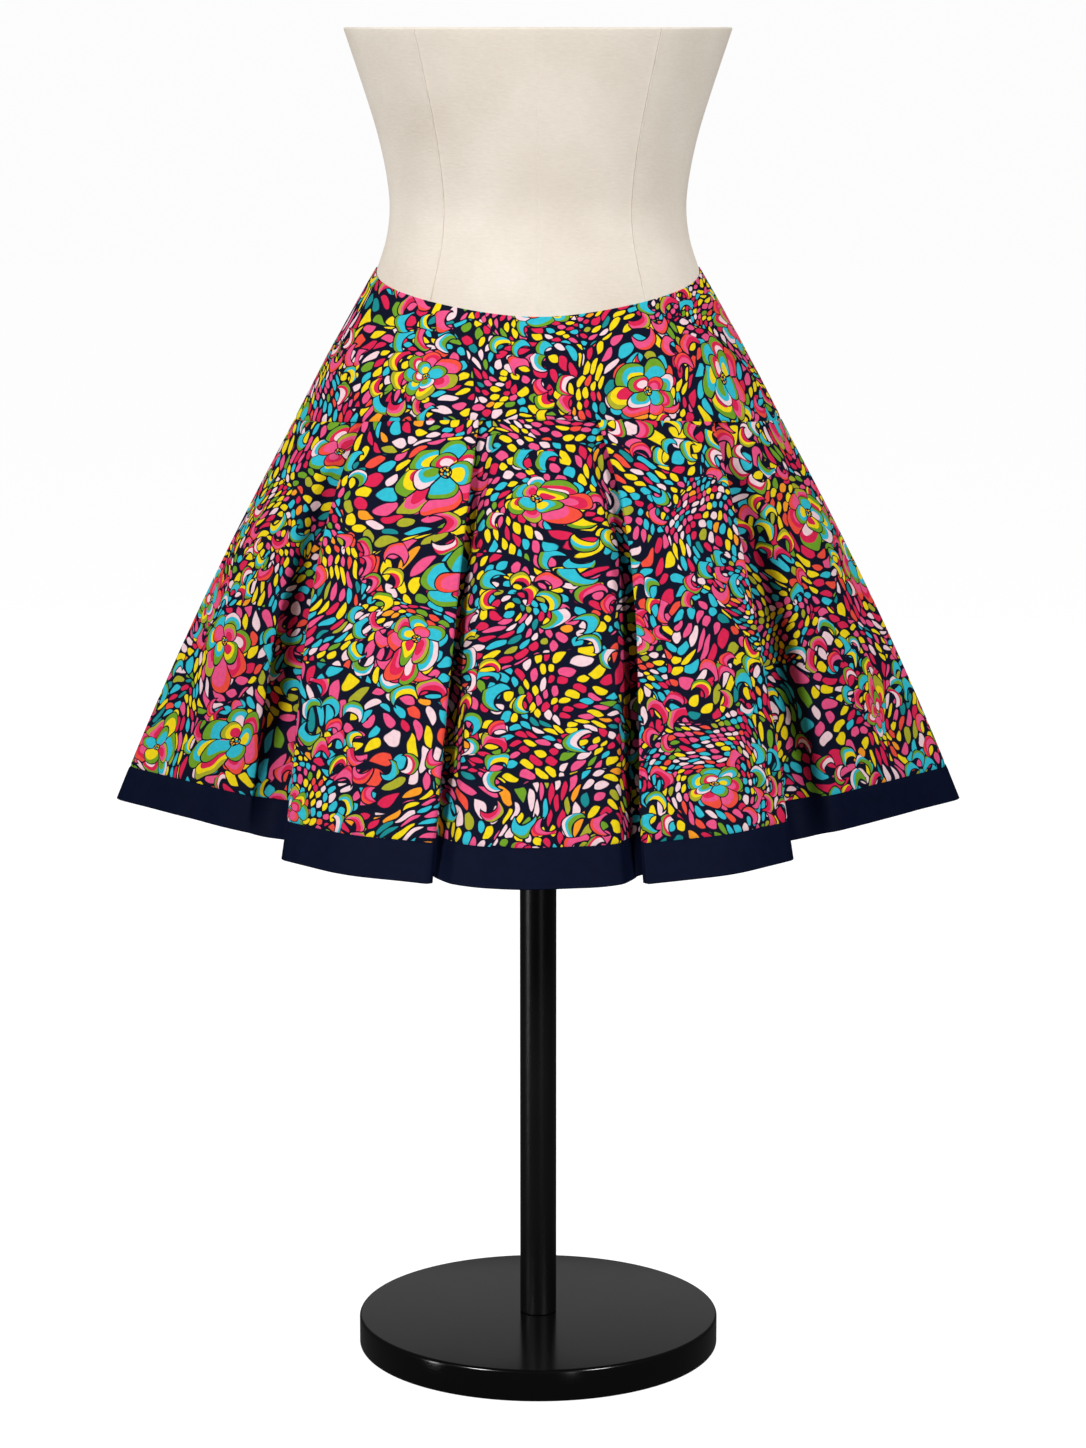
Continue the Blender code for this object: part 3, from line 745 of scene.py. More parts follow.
@dataclass(frozen=True)
class TorsoShape:
    """The outer surface of the dress form."""

    sections: tuple[FormSection, ...] = (
        FormSection(600, 146.0, 84.0, 92.0),
        FormSection(640, 160.0, 92.0, 105.0),
        FormSection(690, 159.0, 94.5, 110.5),
        FormSection(740, 149.5, 92.0, 109.0),
        FormSection(780, 138.0, 88.0, 101.5),
        FormSection(810, 127.0, 85.5, 94.5),
        FormSection(834, 118.8, 82.5, 88.5),
        FormSection(855, 112.2, 79.5, 83.0),
        FormSection(877, 109.6, 78.0, 79.5),
        FormSection(900, 111.6, 80.5, 80.0),
        FormSection(930, 117.8, 85.5, 84.0),
        FormSection(960, 126.8, 91.5, 89.0),
        FormSection(1009, 143.0, 101.0, 97.0),
    )
    squareness: float = 2.15

    def section(self, height: float) -> Sides:
        """Half width, front depth and back depth at a height, on smooth curves.

        Args:
            height: in metres above the floor.

        Returns:
            The three sizes.
        """
        level = height / MM
        rows = self.sections
        index = max(i for i in range(len(rows) - 1) if rows[i].height <= level or i == 0)
        low, high = rows[index], rows[index + 1]
        before, after = rows[max(index - 1, 0)], rows[min(index + 2, len(rows) - 1)]
        span = high.height - low.height
        share = min(max((level - low.height) / span, 0.0), 1.0)
        sizes = []
        for column in (1, 2, 3):
            low_slope = (high[column] - before[column]) / (high.height - before.height) * span
            high_slope = (after[column] - low[column]) / (after.height - low.height) * span
            cube, square = share**3, share**2
            value = (2 * cube - 3 * square + 1) * low[column]
            value += (cube - 2 * square + share) * low_slope
            value += (3 * square - 2 * cube) * high[column] + (cube - square) * high_slope
            sizes.append(value * MM)
        return (sizes[0], sizes[1], sizes[2])

    def point(self, theta: float, height: float, out: float = 0.0) -> Vector:
        """A point of the surface, or that far outside it."""
        half_width, front, back = self.section(height)
        sizes = (half_width + out, front + out, back + out)
        return ring_point(theta, sizes, self.squareness, height)


# ---- The cloth's shape --------------------------------------------------------------------------
class Bend(NamedTuple):
    """A line down the panel where the cloth bends, from the yoke seam to the hem.

    name: what it is in the fold
    layer: how many layers of cloth lie over it at the seam
    seam_reach, hem_reach: how far from the line the bend starts, mm
    arc: steps round the bend in the solid, which the sheet divides further
    run: steps of the flat stretch after it, likewise
    turn: its angle round the yoke seam, degrees from the centre front or the centre back
    hem_x, hem_out: its place at the hem, sideways and forwards (or backwards), mm
    left, right: how far out the line bows in its upper half, on the left and the right side, mm
    sink: how far in it dips about half way down, mm
    """

    name: str
    layer: int
    seam_reach: float
    hem_reach: float
    arc: int
    run: int
    turn: float
    hem_x: float
    hem_out: float
    left: float
    right: float
    sink: float


# What a bend is on both faces, from its name to its run.
FOLDS = (
    ("centre", 0, 6.0, 20.0, 1, 2),
    ("centre_edge", 0, 3.0, 14.0, 2, 2),
    ("under_flute", 2, 3.0, 8.0, 2, 1),
    ("inner_crease", 2, 0.85, 3.0, 2, 1),
    ("inner_return", 1, 0.85, 3.0, 2, 1),
    ("flute_turn", 1, 0.85, 2.6, 2, 1),
    ("flute_edge", 0, 0.85, 2.6, 2, 3),
    ("flute_face", 0, 10.0, 18.0, 2, 3),
    ("far_edge", 0, 0.85, 7.0, 3, 1),
    ("far_turn", 1, 0.85, 6.0, 2, 1),
    ("outer_return", 1, 0.85, 4.0, 2, 1),
    ("outer_crease", 2, 0.85, 4.0, 2, 1),
    ("past_flute", 2, 3.0, 10.0, 2, 2),
    ("side_face", 0, 4.0, 22.0, 2, 6),
    ("side_seam", 0, 6.0, 20.0, 3, 0),
)
# Where it goes on each face, from its turn to its sink.
FRONT_COURSES = (
    (0.0, 0.0, 285.0, 0.0, 0.0, 0.0),
    (8.5, 46.0, 277.0, 13.0, 3.0, 0.0),
    (13.0, 72.0, 259.0, 13.0, 2.0, 29.0),
    (21.0, 99.0, 240.0, 11.0, 1.0, 16.0),
    (21.0, 102.0, 247.0, 11.0, 1.0, 7.0),
    (14.7, 73.0, 262.5, 13.0, 1.0, 0.0),
    (14.7, 76.0, 268.0, 13.0, 1.0, 0.0),
    (30.0, 138.0, 243.0, 6.0, 9.0, 0.0),
    (45.5, 182.0, 201.0, 3.0, 12.0, 0.0),
    (45.5, 181.0, 185.0, 3.0, 12.0, 0.0),
    (38.5, 153.0, 163.0, 2.0, 10.0, 9.0),
    (38.5, 153.0, 152.0, 2.0, 10.0, 24.0),
    (47.0, 187.0, 145.0, 2.0, 11.0, 38.0),
    (57.0, 236.0, 98.0, 3.0, 8.0, 4.0),
    (90.0, 327.0, -6.0, 0.0, 0.0, 0.0),
)
BACK_COURSES = (
    (0.0, 0.0, 285.3, 0.0, 0.0, 0.0),
    (10.0, 50.0, 278.0, 8.0, 4.0, 0.0),
    (14.5, 77.0, 260.0, 8.0, 4.0, 25.0),
    (22.5, 104.0, 241.0, 7.0, 3.0, 14.0),
    (22.5, 107.0, 248.0, 7.0, 3.0, 6.0),
    (16.2, 79.0, 264.0, 8.0, 4.0, 0.0),
    (16.2, 82.0, 270.0, 8.0, 4.0, 0.0),
    (31.0, 142.0, 246.0, 9.0, 6.0, 0.0),
    (46.5, 187.0, 203.0, 10.0, 4.0, 0.0),
    (46.5, 186.0, 187.0, 10.0, 4.0, 0.0),
    (39.5, 158.0, 166.0, 8.0, 3.0, 8.0),
    (39.5, 158.0, 155.0, 8.0, 3.0, 20.0),
    (48.0, 191.0, 149.0, 8.0, 3.0, 33.0),
    (58.0, 236.0, 112.0, 5.0, 2.0, 4.0),
    (90.0, 327.0, 6.0, 0.0, 0.0, 0.0),
)


class Side(Enum):
    """A side of the wearer, as the sign of its X."""

    LEFT = 1
    RIGHT = -1


class Face(Enum):
    """The front or the back of the skirt."""

    FRONT = "front"
    BACK = "back"


class Crease(NamedTuple):
    """A soft trough or ridge that runs down a panel.

    A place counts the bends from the centre line, and is negative on the wearer's right.

    at_seam, at_hem: its places at the yoke seam and at the hem
    start, end: where it begins and ends, as shares of the panel's length
    width: from its middle to its foot, mm
    rise: its height, mm, or its depth where that is negative
    """

    at_seam: float
    at_hem: float
    start: float
    end: float
    width: float
    rise: float


FRONT_CREASES = (
    Crease(-2.2, -2.1, 0.18, 1.70, 24.0, 18.0),
    Crease(2.2, 2.1, 0.15, 1.80, 22.0, 9.0),
    Crease(12.0, 12.1, 0.50, 1.50, 17.0, -8.0),
    Crease(-12.2, -12.4, 0.35, 1.50, 30.0, -9.0),
    Crease(11.9, 12.0, 0.00, 0.60, 10.0, -4.5),
    Crease(-11.9, -12.1, 0.00, 0.50, 10.0, -3.0),
    Crease(0.3, 0.5, 0.10, 1.25, 26.0, 1.6),
    Crease(-0.6, -0.4, 0.25, 1.30, 22.0, -1.5),
    Crease(6.4, 6.3, 0.05, 1.20, 20.0, -1.4),
    Crease(7.1, 7.3, 0.30, 1.35, 18.0, 1.7),
    Crease(7.6, 7.7, 0.05, 0.60, 14.0, -1.2),
    Crease(-6.5, -6.4, 0.15, 1.30, 19.0, 1.5),
    Crease(-7.2, -7.4, 0.02, 0.75, 16.0, -1.5),
    Crease(-7.7, -7.6, 0.40, 1.40, 15.0, 1.3),
    Crease(13.15, 13.10, 0.02, 0.55, 9.0, -2.2),
    Crease(13.35, 13.30, 0.20, 1.30, 24.0, 3.0),
    Crease(13.62, 13.60, 0.35, 1.40, 22.0, -2.2),
    Crease(-13.12, -13.16, 0.30, 1.30, 22.0, -3.4),
    Crease(-13.40, -13.42, 0.10, 1.20, 26.0, 2.8),
    Crease(-13.70, -13.66, 0.30, 1.40, 20.0, -1.8),
)
BACK_CREASES = (
    Crease(0.5, 0.4, 0.20, 1.30, 24.0, -1.5),
    Crease(6.5, 6.4, 0.10, 1.25, 20.0, 1.5),
    Crease(7.4, 7.3, 0.05, 0.80, 16.0, -1.4),
    Crease(13.2, 13.15, 0.10, 1.25, 22.0, -2.6),
    Crease(13.5, 13.5, 0.15, 1.30, 26.0, 2.8),
    Crease(-0.4, -0.6, 0.10, 1.20, 22.0, 1.4),
    Crease(-6.3, -6.5, 0.20, 1.30, 20.0, -1.5),
    Crease(-7.3, -7.5, 0.15, 1.10, 17.0, 1.6),
    Crease(-13.25, -13.2, 0.05, 0.90, 20.0, 2.4),
    Crease(-13.55, -13.6, 0.25, 1.35, 24.0, -2.4),
)


# The places at which the folds fade out, where a pleat's cloth is folded under, and come back.
FOLDED_UNDER = (0.0, 2.3, 3.0, 5.0, 5.7, 8.3, 9.0, 11.0, 11.7)


class PanelLines(NamedTuple):
    """The columns of a panel, from the first to the last, in the order of THETA."""

    places: np.ndarray
    tops: np.ndarray
    bottoms: np.ndarray
    bows: np.ndarray
    sinks: np.ndarray


@dataclass(frozen=True)
class SkirtShape:
    """The middle of the skirt's cloth, worked out from its driving sizes."""

    torso: TorsoShape = field(default_factory=TorsoShape)
    wall: float = 1.0 * MM
    waist_heights: Sides = (803.0 * MM, 833.0 * MM, 838.0 * MM)
    seam_heights: Sides = (733.0 * MM, 722.0 * MM, 727.0 * MM)
    hem_heights: Sides = (424.0 * MM, 430.8 * MM, 428.5 * MM)
    dip_softness: float = 12.0
    seam_sizes: Sides = (181.0 * MM, 125.0 * MM, 139.0 * MM)
    seam_squareness: float = 1.9
    seam_mean_radius: float = 156.0 * MM
    waist_clearance: float = 0.4 * MM
    zip_clearance: float = 2.2 * MM
    band_depth: float = 30.0 * MM
    yoke_bulge: float = 0.02
    flare_bulge: float = 0.039
    layer: float = 2.0 * MM
    arc_fineness: int = 4
    run_fineness: int = 5
    half_bend: float = 0.1  # half a bend's share of the way from one place to the next
    most_rounding: float = 0.49  # the most of a run that the rounding at one end takes
    bow_scale: float = 6.75  # makes the largest bow 1
    dip_end: float = 0.87  # how much of its half wave a dip has gone through at the hem
    dip_power: float = 1.3

    def waist_height(self, theta: float) -> float:
        """Height of the yoke's top edge: a softened V in front, nearly level behind.

        Args:
            theta: angle round the ring.

        Returns:
            The height.
        """
        front, side, back = self.waist_heights
        degrees = math.degrees(math.acos(math.cos(theta)))
        if degrees > 90.0:
            return lerp(back, side, math.sin(theta) ** 2)
        rise = math.hypot(degrees, self.dip_softness) - self.dip_softness
        full_rise = math.hypot(90.0, self.dip_softness) - self.dip_softness
        return lerp(front, side, rise / full_rise)

    def waist_point(self, theta: float) -> Vector:
        """A point of the yoke's top edge."""
        behind = max(0.0, -math.cos(theta)) ** 4
        clearance = lerp(self.waist_clearance, self.zip_clearance, behind)
        return self.torso.point(theta, self.waist_height(theta), clearance + self.wall / 2)

    def seam_point(self, theta: float, inward: float = 0.0) -> Vector:
        """A point of the yoke seam, or that far inside it, where a pleat's layers are stacked."""
        half_width, front, back = self.seam_sizes
        sizes = (half_width - inward, front - inward, back - inward)
        return ring_point(theta, sizes, self.seam_squareness, around(theta, self.seam_heights))

    def yoke_point(self, theta: float, share: float) -> Vector:
        """A point of the yoke, a share of the way from the waist edge to the seam."""
        top, bottom = self.waist_point(theta), self.seam_point(theta)
        point = top.lerp(bottom, share + self.yoke_bulge * 4.0 * share * (1.0 - share))
        point.z = lerp(top.z, bottom.z, share)
        return point

    def rounded_path(
        self, corners: Sequence[Vector], reaches: Sequence[float], bends: Sequence[Bend]
    ) -> list[Vector]:
        """The points along corners with each one rounded off.

        Args:
            corners: the corners, from the centre line to the side seam.
            reaches: how far from each corner its rounding starts.
            bends: the bends at the corners, which say how many steps there are.

        Returns:
            The points, the same number whatever the sizes.
        """
        first, last = corners[0], corners[-1]
        ahead = Vector((2.0 * first.x - corners[1].x, corners[1].y))
        beyond = Vector((corners[-2].x, 2.0 * last.y - corners[-2].y))
        whole = [ahead, *corners, beyond]
        points: list[Vector] = []
        for index, (bend, wanted) in enumerate(zip(bends, reaches, strict=True)):
            before, corner, after = whole[index : index + 3]
            nearest = min((corner - before).length, (after - corner).length)
            reach = min(wanted, self.most_rounding * nearest)
            start = corner + (before - corner).normalized() * reach
            end = corner + (after - corner).normalized() * reach
            low = 0.5 if index == 0 else 0.0
            high = 0.5 if index == len(bends) - 1 else 1.0
            if points:
                run = bends[index - 1].run * self.run_fineness
                left = points[-1]
                points += [left.lerp(start, step / run) for step in range(1, run)]
            steps = bend.arc * self.arc_fineness
            for step in range(steps + 1):
                share = lerp(low, high, step / steps)
                toward, away = start.lerp(corner, share), corner.lerp(end, share)
                points.append(toward.lerp(away, share))
        return points

    def places(self, bends: Sequence[Bend]) -> list[float]:
        """The place of each point of a rounded path: a bend's own number, and between on a run."""
        half = self.half_bend
        found: list[float] = []
        for index, bend in enumerate(bends):
            if found:
                run = bends[index - 1].run * self.run_fineness
                start, end = index - 1 + half, index - half
                found += [lerp(start, end, step / run) for step in range(1, run)]
            steps = bend.arc * self.arc_fineness
            found += [index + lerp(-half, half, step / steps) for step in range(steps + 1)]
        return found

    def quarter(self, face: Face, side: Side) -> PanelLines:
        """The columns of a quarter of the skirt, from the centre line to the side seam.

        Args:
            face: the front or the back.
            side: the wearer's left or right.

        Returns:
            The columns.
        """
        courses = FRONT_COURSES if face is Face.FRONT else BACK_COURSES
        bends = [Bend(*fold, *course) for fold, course in zip(FOLDS, courses, strict=True)]
        bows = [bend.left if side is Side.LEFT else bend.right for bend in bends]
        turns = [math.radians(bend.turn) * self.seam_mean_radius for bend in bends]
        along_seam = [Vector((turn, b.layer * self.layer)) for turn, b in zip(turns, bends)]
        along_hem = [Vector((b.hem_x, b.hem_out)) * MM for b in bends]
        seam_path = self.rounded_path(along_seam, [b.seam_reach * MM for b in bends], bends)
        hem_path = self.rounded_path(along_hem, [b.hem_reach * MM for b in bends], bends)
        places = np.array(self.places(bends))
        tops, bottoms = [], []
        for at_seam, at_hem in zip(seam_path, hem_path, strict=True):
            turn = at_seam.x / self.seam_mean_radius
            top = self.seam_point(turn if face is Face.FRONT else math.pi - turn, at_seam.y)
            out = -at_hem.y if face is Face.FRONT else at_hem.y
            height = around(math.atan2(at_hem.x, -out), self.hem_heights)
            tops.append((side.value * top.x, top.y, top.z))
            bottoms.append((side.value * at_hem.x, out, height))
        # A bow or a sink is its bend's own round the bend, and passes to the next along the run.
        half = self.half_bend
        stops = [index + edge for index in range(len(bends)) for edge in (-half, half)]
        bow_at = np.interp(places, stops, np.repeat(bows, 2)) * MM * side.value
        sinks = np.array([bend.sink for bend in bends]) * (MM if face is Face.FRONT else -MM)
        at = np.clip(np.floor(places).astype(int), 0, len(bends) - 2)
        share = np.clip((places - at - half) / (1.0 - 2.0 * half), 0.0, 1.0)
        sink_at = sinks[at] + (sinks[at + 1] - sinks[at]) * share**2 * (3.0 - 2.0 * share)
        return PanelLines(places * side.value, np.array(tops), np.array(bottoms), bow_at, sink_at)

    def panel(self, face: Face, side: Side | None) -> PanelLines:
        """The columns of a whole panel: the front, or one side of the back.

        Args:
            face: the front or the back.
            side: the side of the back, or None for the front.

        Returns:
            The columns in the order of THETA.
        """
        if side is Side.LEFT:
            return PanelLines(*(part[::-1] for part in self.quarter(face, side)))
        if side is Side.RIGHT:
            return self.quarter(face, side)
        right, left = self.quarter(face, Side.RIGHT), self.quarter(face, Side.LEFT)
        joined = (np.concatenate((a[::-1], b[1:])) for a, b in zip(right, left, strict=True))
        return PanelLines(*joined)

    def panel_points(self, lines: PanelLines, shares: np.ndarray) -> np.ndarray:
        """Points of a panel, columns by rows by three, at shares of its length.

        Args:
            lines: its columns.
            shares: the rows' shares, from the seam down.

        Returns:
            The points.
        """
        hump = (4.0 * shares * (1.0 - shares))[None, :, None]
        flared = shares[None, :, None] + self.flare_bulge * hump
        tops, bottoms = lines.tops[:, None, :], lines.bottoms[:, None, :]
        points = tops + (bottoms - tops) * flared
        points[..., 2] = tops[..., 2] + (bottoms[..., 2] - tops[..., 2]) * shares[None, :]
        bow = self.bow_scale * shares * (1.0 - shares) ** 2
        dip = np.sin(self.dip_end * math.pi * shares**self.dip_power)
        points[..., 0] += lines.bows[:, None] * bow
        points[..., 1] += lines.sinks[:, None] * dip
        return points

    def band_share(self, lines: PanelLines) -> float:
        """The share of a column's length at which the hem band starts.

        Args:
            lines: the panel's columns.

        Returns:
            The share.
        """
        at = int(np.argmin(np.abs(lines.places)))
        first = 0 if abs(lines.places[0]) < abs(lines.places[-1]) else at
        column = first if abs(lines.places[first]) < 0.2 else 0
        length = float(np.linalg.norm(lines.bottoms[column] - lines.tops[column]))
        return 1.0 - self.band_depth / length


# ---- Pieces -------------------------------------------------------------------------------------
def placed(name: str, data: bpy.types.ID) -> bpy.types.Object:
    """A new object in the scene."""
    made = bpy.data.objects.new(name, data)
    bpy.context.scene.collection.objects.link(made)
    return made


def finished(
    name: str, solid: bmesh.types.BMesh, *finishes: bpy.types.Material, sharp: float = 180.0
) -> bpy.types.Object:
    """A bmesh as a smooth-shaded object.

    Args:
        name: the piece's name.
        solid: its mesh, which is freed.
        finishes: its materials.
        sharp: the angle in degrees past which an edge stays sharp.

    Returns:
        The object, placed in the scene.
    """
    mesh = bpy.data.meshes.new(name)
    solid.to_mesh(mesh)
    solid.free()
    mesh.shade_smooth()
    if sharp < 180.0:
        mesh.set_sharp_from_angle(angle=math.radians(sharp))
    for finish in finishes:
        mesh.materials.append(finish)
    return placed(name, mesh)


# ---- Sheets of cloth ----------------------------------------------------------------------------
def lengths_between(points: np.ndarray, axis: int) -> np.ndarray:
    """Distances between neighbours of a grid of points along one of its axes."""
    return np.linalg.norm(np.diff(points, axis=axis), axis=-1)


def distances(points: np.ndarray, axis: int) -> np.ndarray:
    """Distance from the first point of each line of a grid to all of its points."""
    return np.insert(np.cumsum(lengths_between(points, axis), axis=axis), 0, 0.0, axis=axis)


def outward_normals(points: np.ndarray) -> np.ndarray:
    """The way out of the cloth at each point of a grid that runs round by THETA and down.

    Args:
        points: columns by rows by three.

    Returns:
        A unit vector for each.
    """
    across = np.gradient(points, axis=0)
    down = np.gradient(points, axis=1)
    normals = np.cross(down, across)
    return normals / np.maximum(np.linalg.norm(normals, axis=-1, keepdims=True), 1e-12)


def flat_pattern(points: np.ndarray, straight: bool = False) -> np.ndarray:
    """The sheet laid flat: each strip between two columns keeps its length and its two widths.

    Args:
        points: columns by rows by three, in the order of THETA and downwards.
        straight: whether it was cut as a straight strip, and eased into its curve.

    Returns:
        Columns by rows by two, in metres, with +Y towards the top edge.
    """
    widths, down = lengths_between(points, 0), distances(points, 1)
    if straight:
        widths = np.repeat(widths.mean(axis=1, keepdims=True), widths.shape[1], axis=1)
    fan = (widths[:, -1] - widths[:, 0]) / (0.5 * (down[1:, -1] + down[:-1, -1]))
    angles = np.concatenate(([0.0], np.cumsum(fan)))
    angles -= angles.mean()
    between = 0.5 * (angles[1:] + angles[:-1])
    steps = np.stack((np.cos(between), np.sin(between)), axis=1) * widths[:, :1]
    starts = np.concatenate((np.zeros((1, 2)), np.cumsum(steps, axis=0)))
    ways = np.stack((np.sin(angles), -np.cos(angles)), axis=1)
    flat = starts[:, None, :] + ways[:, None, :] * down[:, :, None]
    return flat - flat.reshape(-1, 2).mean(axis=0)


class Cut(NamedTuple):
    """The size of a sheet's flat cut, in metres and square metres."""

    width: float
    length: float
    area: float


def cut_size(flat: np.ndarray) -> Cut:
    """The flat pattern's box and its area.

    Args:
        flat: columns by rows by two.

    Returns:
        The sizes.
    """
    size = flat.reshape(-1, 2).max(axis=0) - flat.reshape(-1, 2).min(axis=0)
    one, two = flat[1:, 1:] - flat[:-1, :-1], flat[1:, :-1] - flat[:-1, 1:]
    area = 0.5 * np.abs(one[..., 0] * two[..., 1] - one[..., 1] * two[..., 0]).sum()
    return Cut(float(size[0]), float(size[1]), float(area))


def puckers(along: np.ndarray, height: float, length: float) -> np.ndarray:
    """Uneven small waves along a seam.

    Args:
        along: distance along the seam.
        height: about how high they stand.
        length: about how far apart they are.

    Returns:
        The height at each place.
    """
    turn = math.tau * along / length
    waves = np.sin(turn) + 0.7 * np.sin(1.63 * turn + 1.1) + 0.5 * np.sin(0.41 * turn + 2.3)
    return height * waves / 2.2


def fine_shares(length: float, count: int, close: Sequence[float]) -> np.ndarray:
    """Shares from 0 to 1 that lie closer near both ends.

    Args:
        length: the length that they divide.
        count: about how many even steps there are.
        close: distances from each end at which there is also a step.

    Returns:
        The shares in order.
    """
    ends = np.array(sorted(close)) / length
    even = np.linspace(0.0, 1.0, count + 1)
    inner = even[(even > ends[-1] * 1.3) & (even < 1.0 - ends[-1] * 1.3)]
    return np.concatenate(([0.0], ends, inner, 1.0 - ends[::-1], [1.0]))


@dataclass(frozen=True)
class Tuck:
    """How a sewn edge turns in, so that a seam shows as a soft valley."""

    depth: float = 0.9 * MM
    reach: float = 3.2 * MM
    rows: tuple[float, ...] = (0.5 * MM, 1.1 * MM, 1.9 * MM, 3.2 * MM)

    def sink(self, distance: np.ndarray) -> np.ndarray:
        """How far in the cloth lies at a distance from the sewn edge."""
        share = np.clip(1.0 - distance / self.reach, 0.0, 1.0)
        return self.depth * share**2

    def lift(self, points: np.ndarray, at_top: bool = True, at_bottom: bool = True) -> np.ndarray:
        """How far each point of a grid is lifted: less than nothing near each sewn edge.

        Args:
            points: the grid, whose two sides are always sewn.
            at_top: whether its top edge is sewn too.
            at_bottom: whether its bottom edge is.

        Returns:
            The lift of each point, columns by rows.
        """
        along, down = distances(points, 0), distances(points, 1)
        lift = -self.sink(along) - self.sink(along[-1:] - along)
        if at_top:
            lift -= self.sink(down)
        if at_bottom:
            lift -= self.sink(down[:, -1:] - down)
        return lift


@dataclass
class Sheet:
    """A grid of points that becomes a piece of cloth."""

    name: str
    points: np.ndarray
    thickness: float
    print_shift: Pair = (0.0, 0.0)
    straight: bool = False  # cut as a straight strip

    def push(self, amount: np.ndarray) -> None:
        """Moves the points out of the cloth by an amount for each."""
        self.points = self.points + outward_normals(self.points) * amount[..., None]

    def build(
        self, face: bpy.types.Material, reverse: bpy.types.Material
    ) -> tuple[bpy.types.Object, Cut]:
        """Makes the piece.

        Args:
            face: the material of its outside.
            reverse: the material of its inside.

        Returns:
            The object and the size of its flat cut.
        """
        columns, rows = self.points.shape[:2]
        flat = flat_pattern(self.points, self.straight)
        sheet = bmesh.new()
        bmesh.ops.create_grid(sheet, x_segments=columns - 1, y_segments=rows - 1, size=0.5)
        chart = sheet.loops.layers.uv.new(CLOTH_MAP)
        where = {}
        for vert in sheet.verts:
            column = round((vert.co.x + 0.5) * (columns - 1))
            row = round((0.5 - vert.co.y) * (rows - 1))
            where[vert] = (column, row)
            vert.co = self.points[where[vert]]
        for side in sheet.faces:
            for loop in side.loops:
                loop[chart].uv = flat[where[loop.vert]] + self.print_shift
        piece = finished(self.name, sheet, face, reverse)
        wall = piece.modifiers.new("wall", "SOLIDIFY")
        wall.thickness = self.thickness
        wall.offset = 0.0
        wall.use_rim = True
        wall.material_offset = 1
        return piece, cut_size(flat)


@dataclass
class Wardrobe:
    """The finishes that the pieces share, made once."""

    print_face: bpy.types.Material
    print_reverse: bpy.types.Material
    navy: bpy.types.Material

    @classmethod
    def filled(cls) -> "Wardrobe":
        """All the finishes, made."""
        return cls(
            PrintedCotton().make(),
            PrintedCotton(name="print_reverse", reverse=True).make(),
            PlainCotton().make(),
        )


def declare(piece: bpy.types.Object, node: str, body: str = BODY) -> None:
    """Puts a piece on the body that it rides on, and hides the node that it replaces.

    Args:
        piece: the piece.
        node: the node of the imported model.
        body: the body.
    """
    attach(piece, body)
    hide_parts(node)
    LOG.info("%s: %d faces", piece.name, len(piece.data.polygons))


def declare_cloth(
    piece: bpy.types.Object, cut: Cut, node: str
) -> None:
    """Does the same for a cloth piece, and logs the size of its flat cut.

    Args:
        piece: the piece.
        cut: the size of its flat cut.
        node: the node that it replaces.
    """
    declare(piece, node)
    LOG.info("  flat %.3f x %.3f m, %.4f m2", *cut)


# ---- The skirt ----------------------------------------------------------------------------------
@dataclass
class Yoke:
    """The fitted top part: a front and two backs."""

    shape: SkirtShape
    wardrobe: Wardrobe
    columns_each_quarter: int = 90
    rows: int = 26
    thickness: float = 0.9 * MM
    quarter_length: float = 220.0 * MM  # about
    depth: float = 90.0 * MM  # about
    seam_pucker: Pair = (0.30 * MM, 17.0 * MM)  # height and length
    pucker_fade: float = 9.0 * MM  # how far above the seam the puckers have faded
    soft_pucker: Pair = (0.35 * MM, 46.0 * MM)
    tuck: Tuck = field(default_factory=Tuck)

    def sheet(self, node: str, first: float, last: float, shift: Pair) -> Sheet:
        """The sheet of one yoke piece, from one angle to another.

        Args:
            node: the node that it replaces.
            first: the angle where it starts.
            last: the angle where it ends.
            shift: where on the print it is cut.

        Returns:
            The sheet, with its edges settled.
        """
        quarters = (last - first) / (math.pi / 2)
        count = round(self.columns_each_quarter * quarters)
        across = fine_shares(self.quarter_length * quarters, count, self.tuck.rows)
        thetas = first + (last - first) * across
        shares = fine_shares(self.depth, self.rows, self.tuck.rows)
        grid = [[self.shape.yoke_point(theta, share)[:] for share in shares] for theta in thetas]
        sheet = Sheet(node + "_cloth", np.array(grid), self.thickness, shift)
        self.settle(sheet)
        return sheet

    def settle(self, sheet: Sheet) -> None:
        """Tucks the sewn edges in and puckers the cloth a little above the seam."""
        along, down = distances(sheet.points, 0), distances(sheet.points, 1)
        to_seam = down[:, -1:] - down
        lift = self.tuck.lift(sheet.points, at_top=False)
        lift += puckers(along, *self.seam_pucker) * np.exp(-to_seam / self.pucker_fade)
        lift += puckers(along + 0.3, *self.soft_pucker) * np.sin(math.pi * down / down[:, -1:])
        sheet.push(lift)

    def build(self) -> None:
        """Makes the three pieces."""
        quarter = math.pi / 2
        for node, first, last, shift in (
            ("yoke_front", -quarter, quarter, (0.31, 1.17)),
            ("yoke_back_left", quarter, 2 * quarter, (2.05, 0.62)),
            ("yoke_back_right", 2 * quarter, 3 * quarter, (3.48, 0.27)),
        ):
            sheet = self.sheet(node, first, last, shift)
            piece, cut = sheet.build(self.wardrobe.print_face, self.wardrobe.print_reverse)
            declare_cloth(piece, cut, node)


class SkirtPiece(NamedTuple):
    """A panel with its band: the ending of their names, where they are and where on the print they
    are cut.
    """

    ending: str
    face: Face
    side: Side | None
    shift: Pair


SKIRT_PIECES = (
    SkirtPiece("front", Face.FRONT, None, (0.20, 0.35)),
    SkirtPiece("back_left", Face.BACK, Side.LEFT, (1.77, 2.40)),
    SkirtPiece("back_right", Face.BACK, Side.RIGHT, (2.91, 1.66)),
)


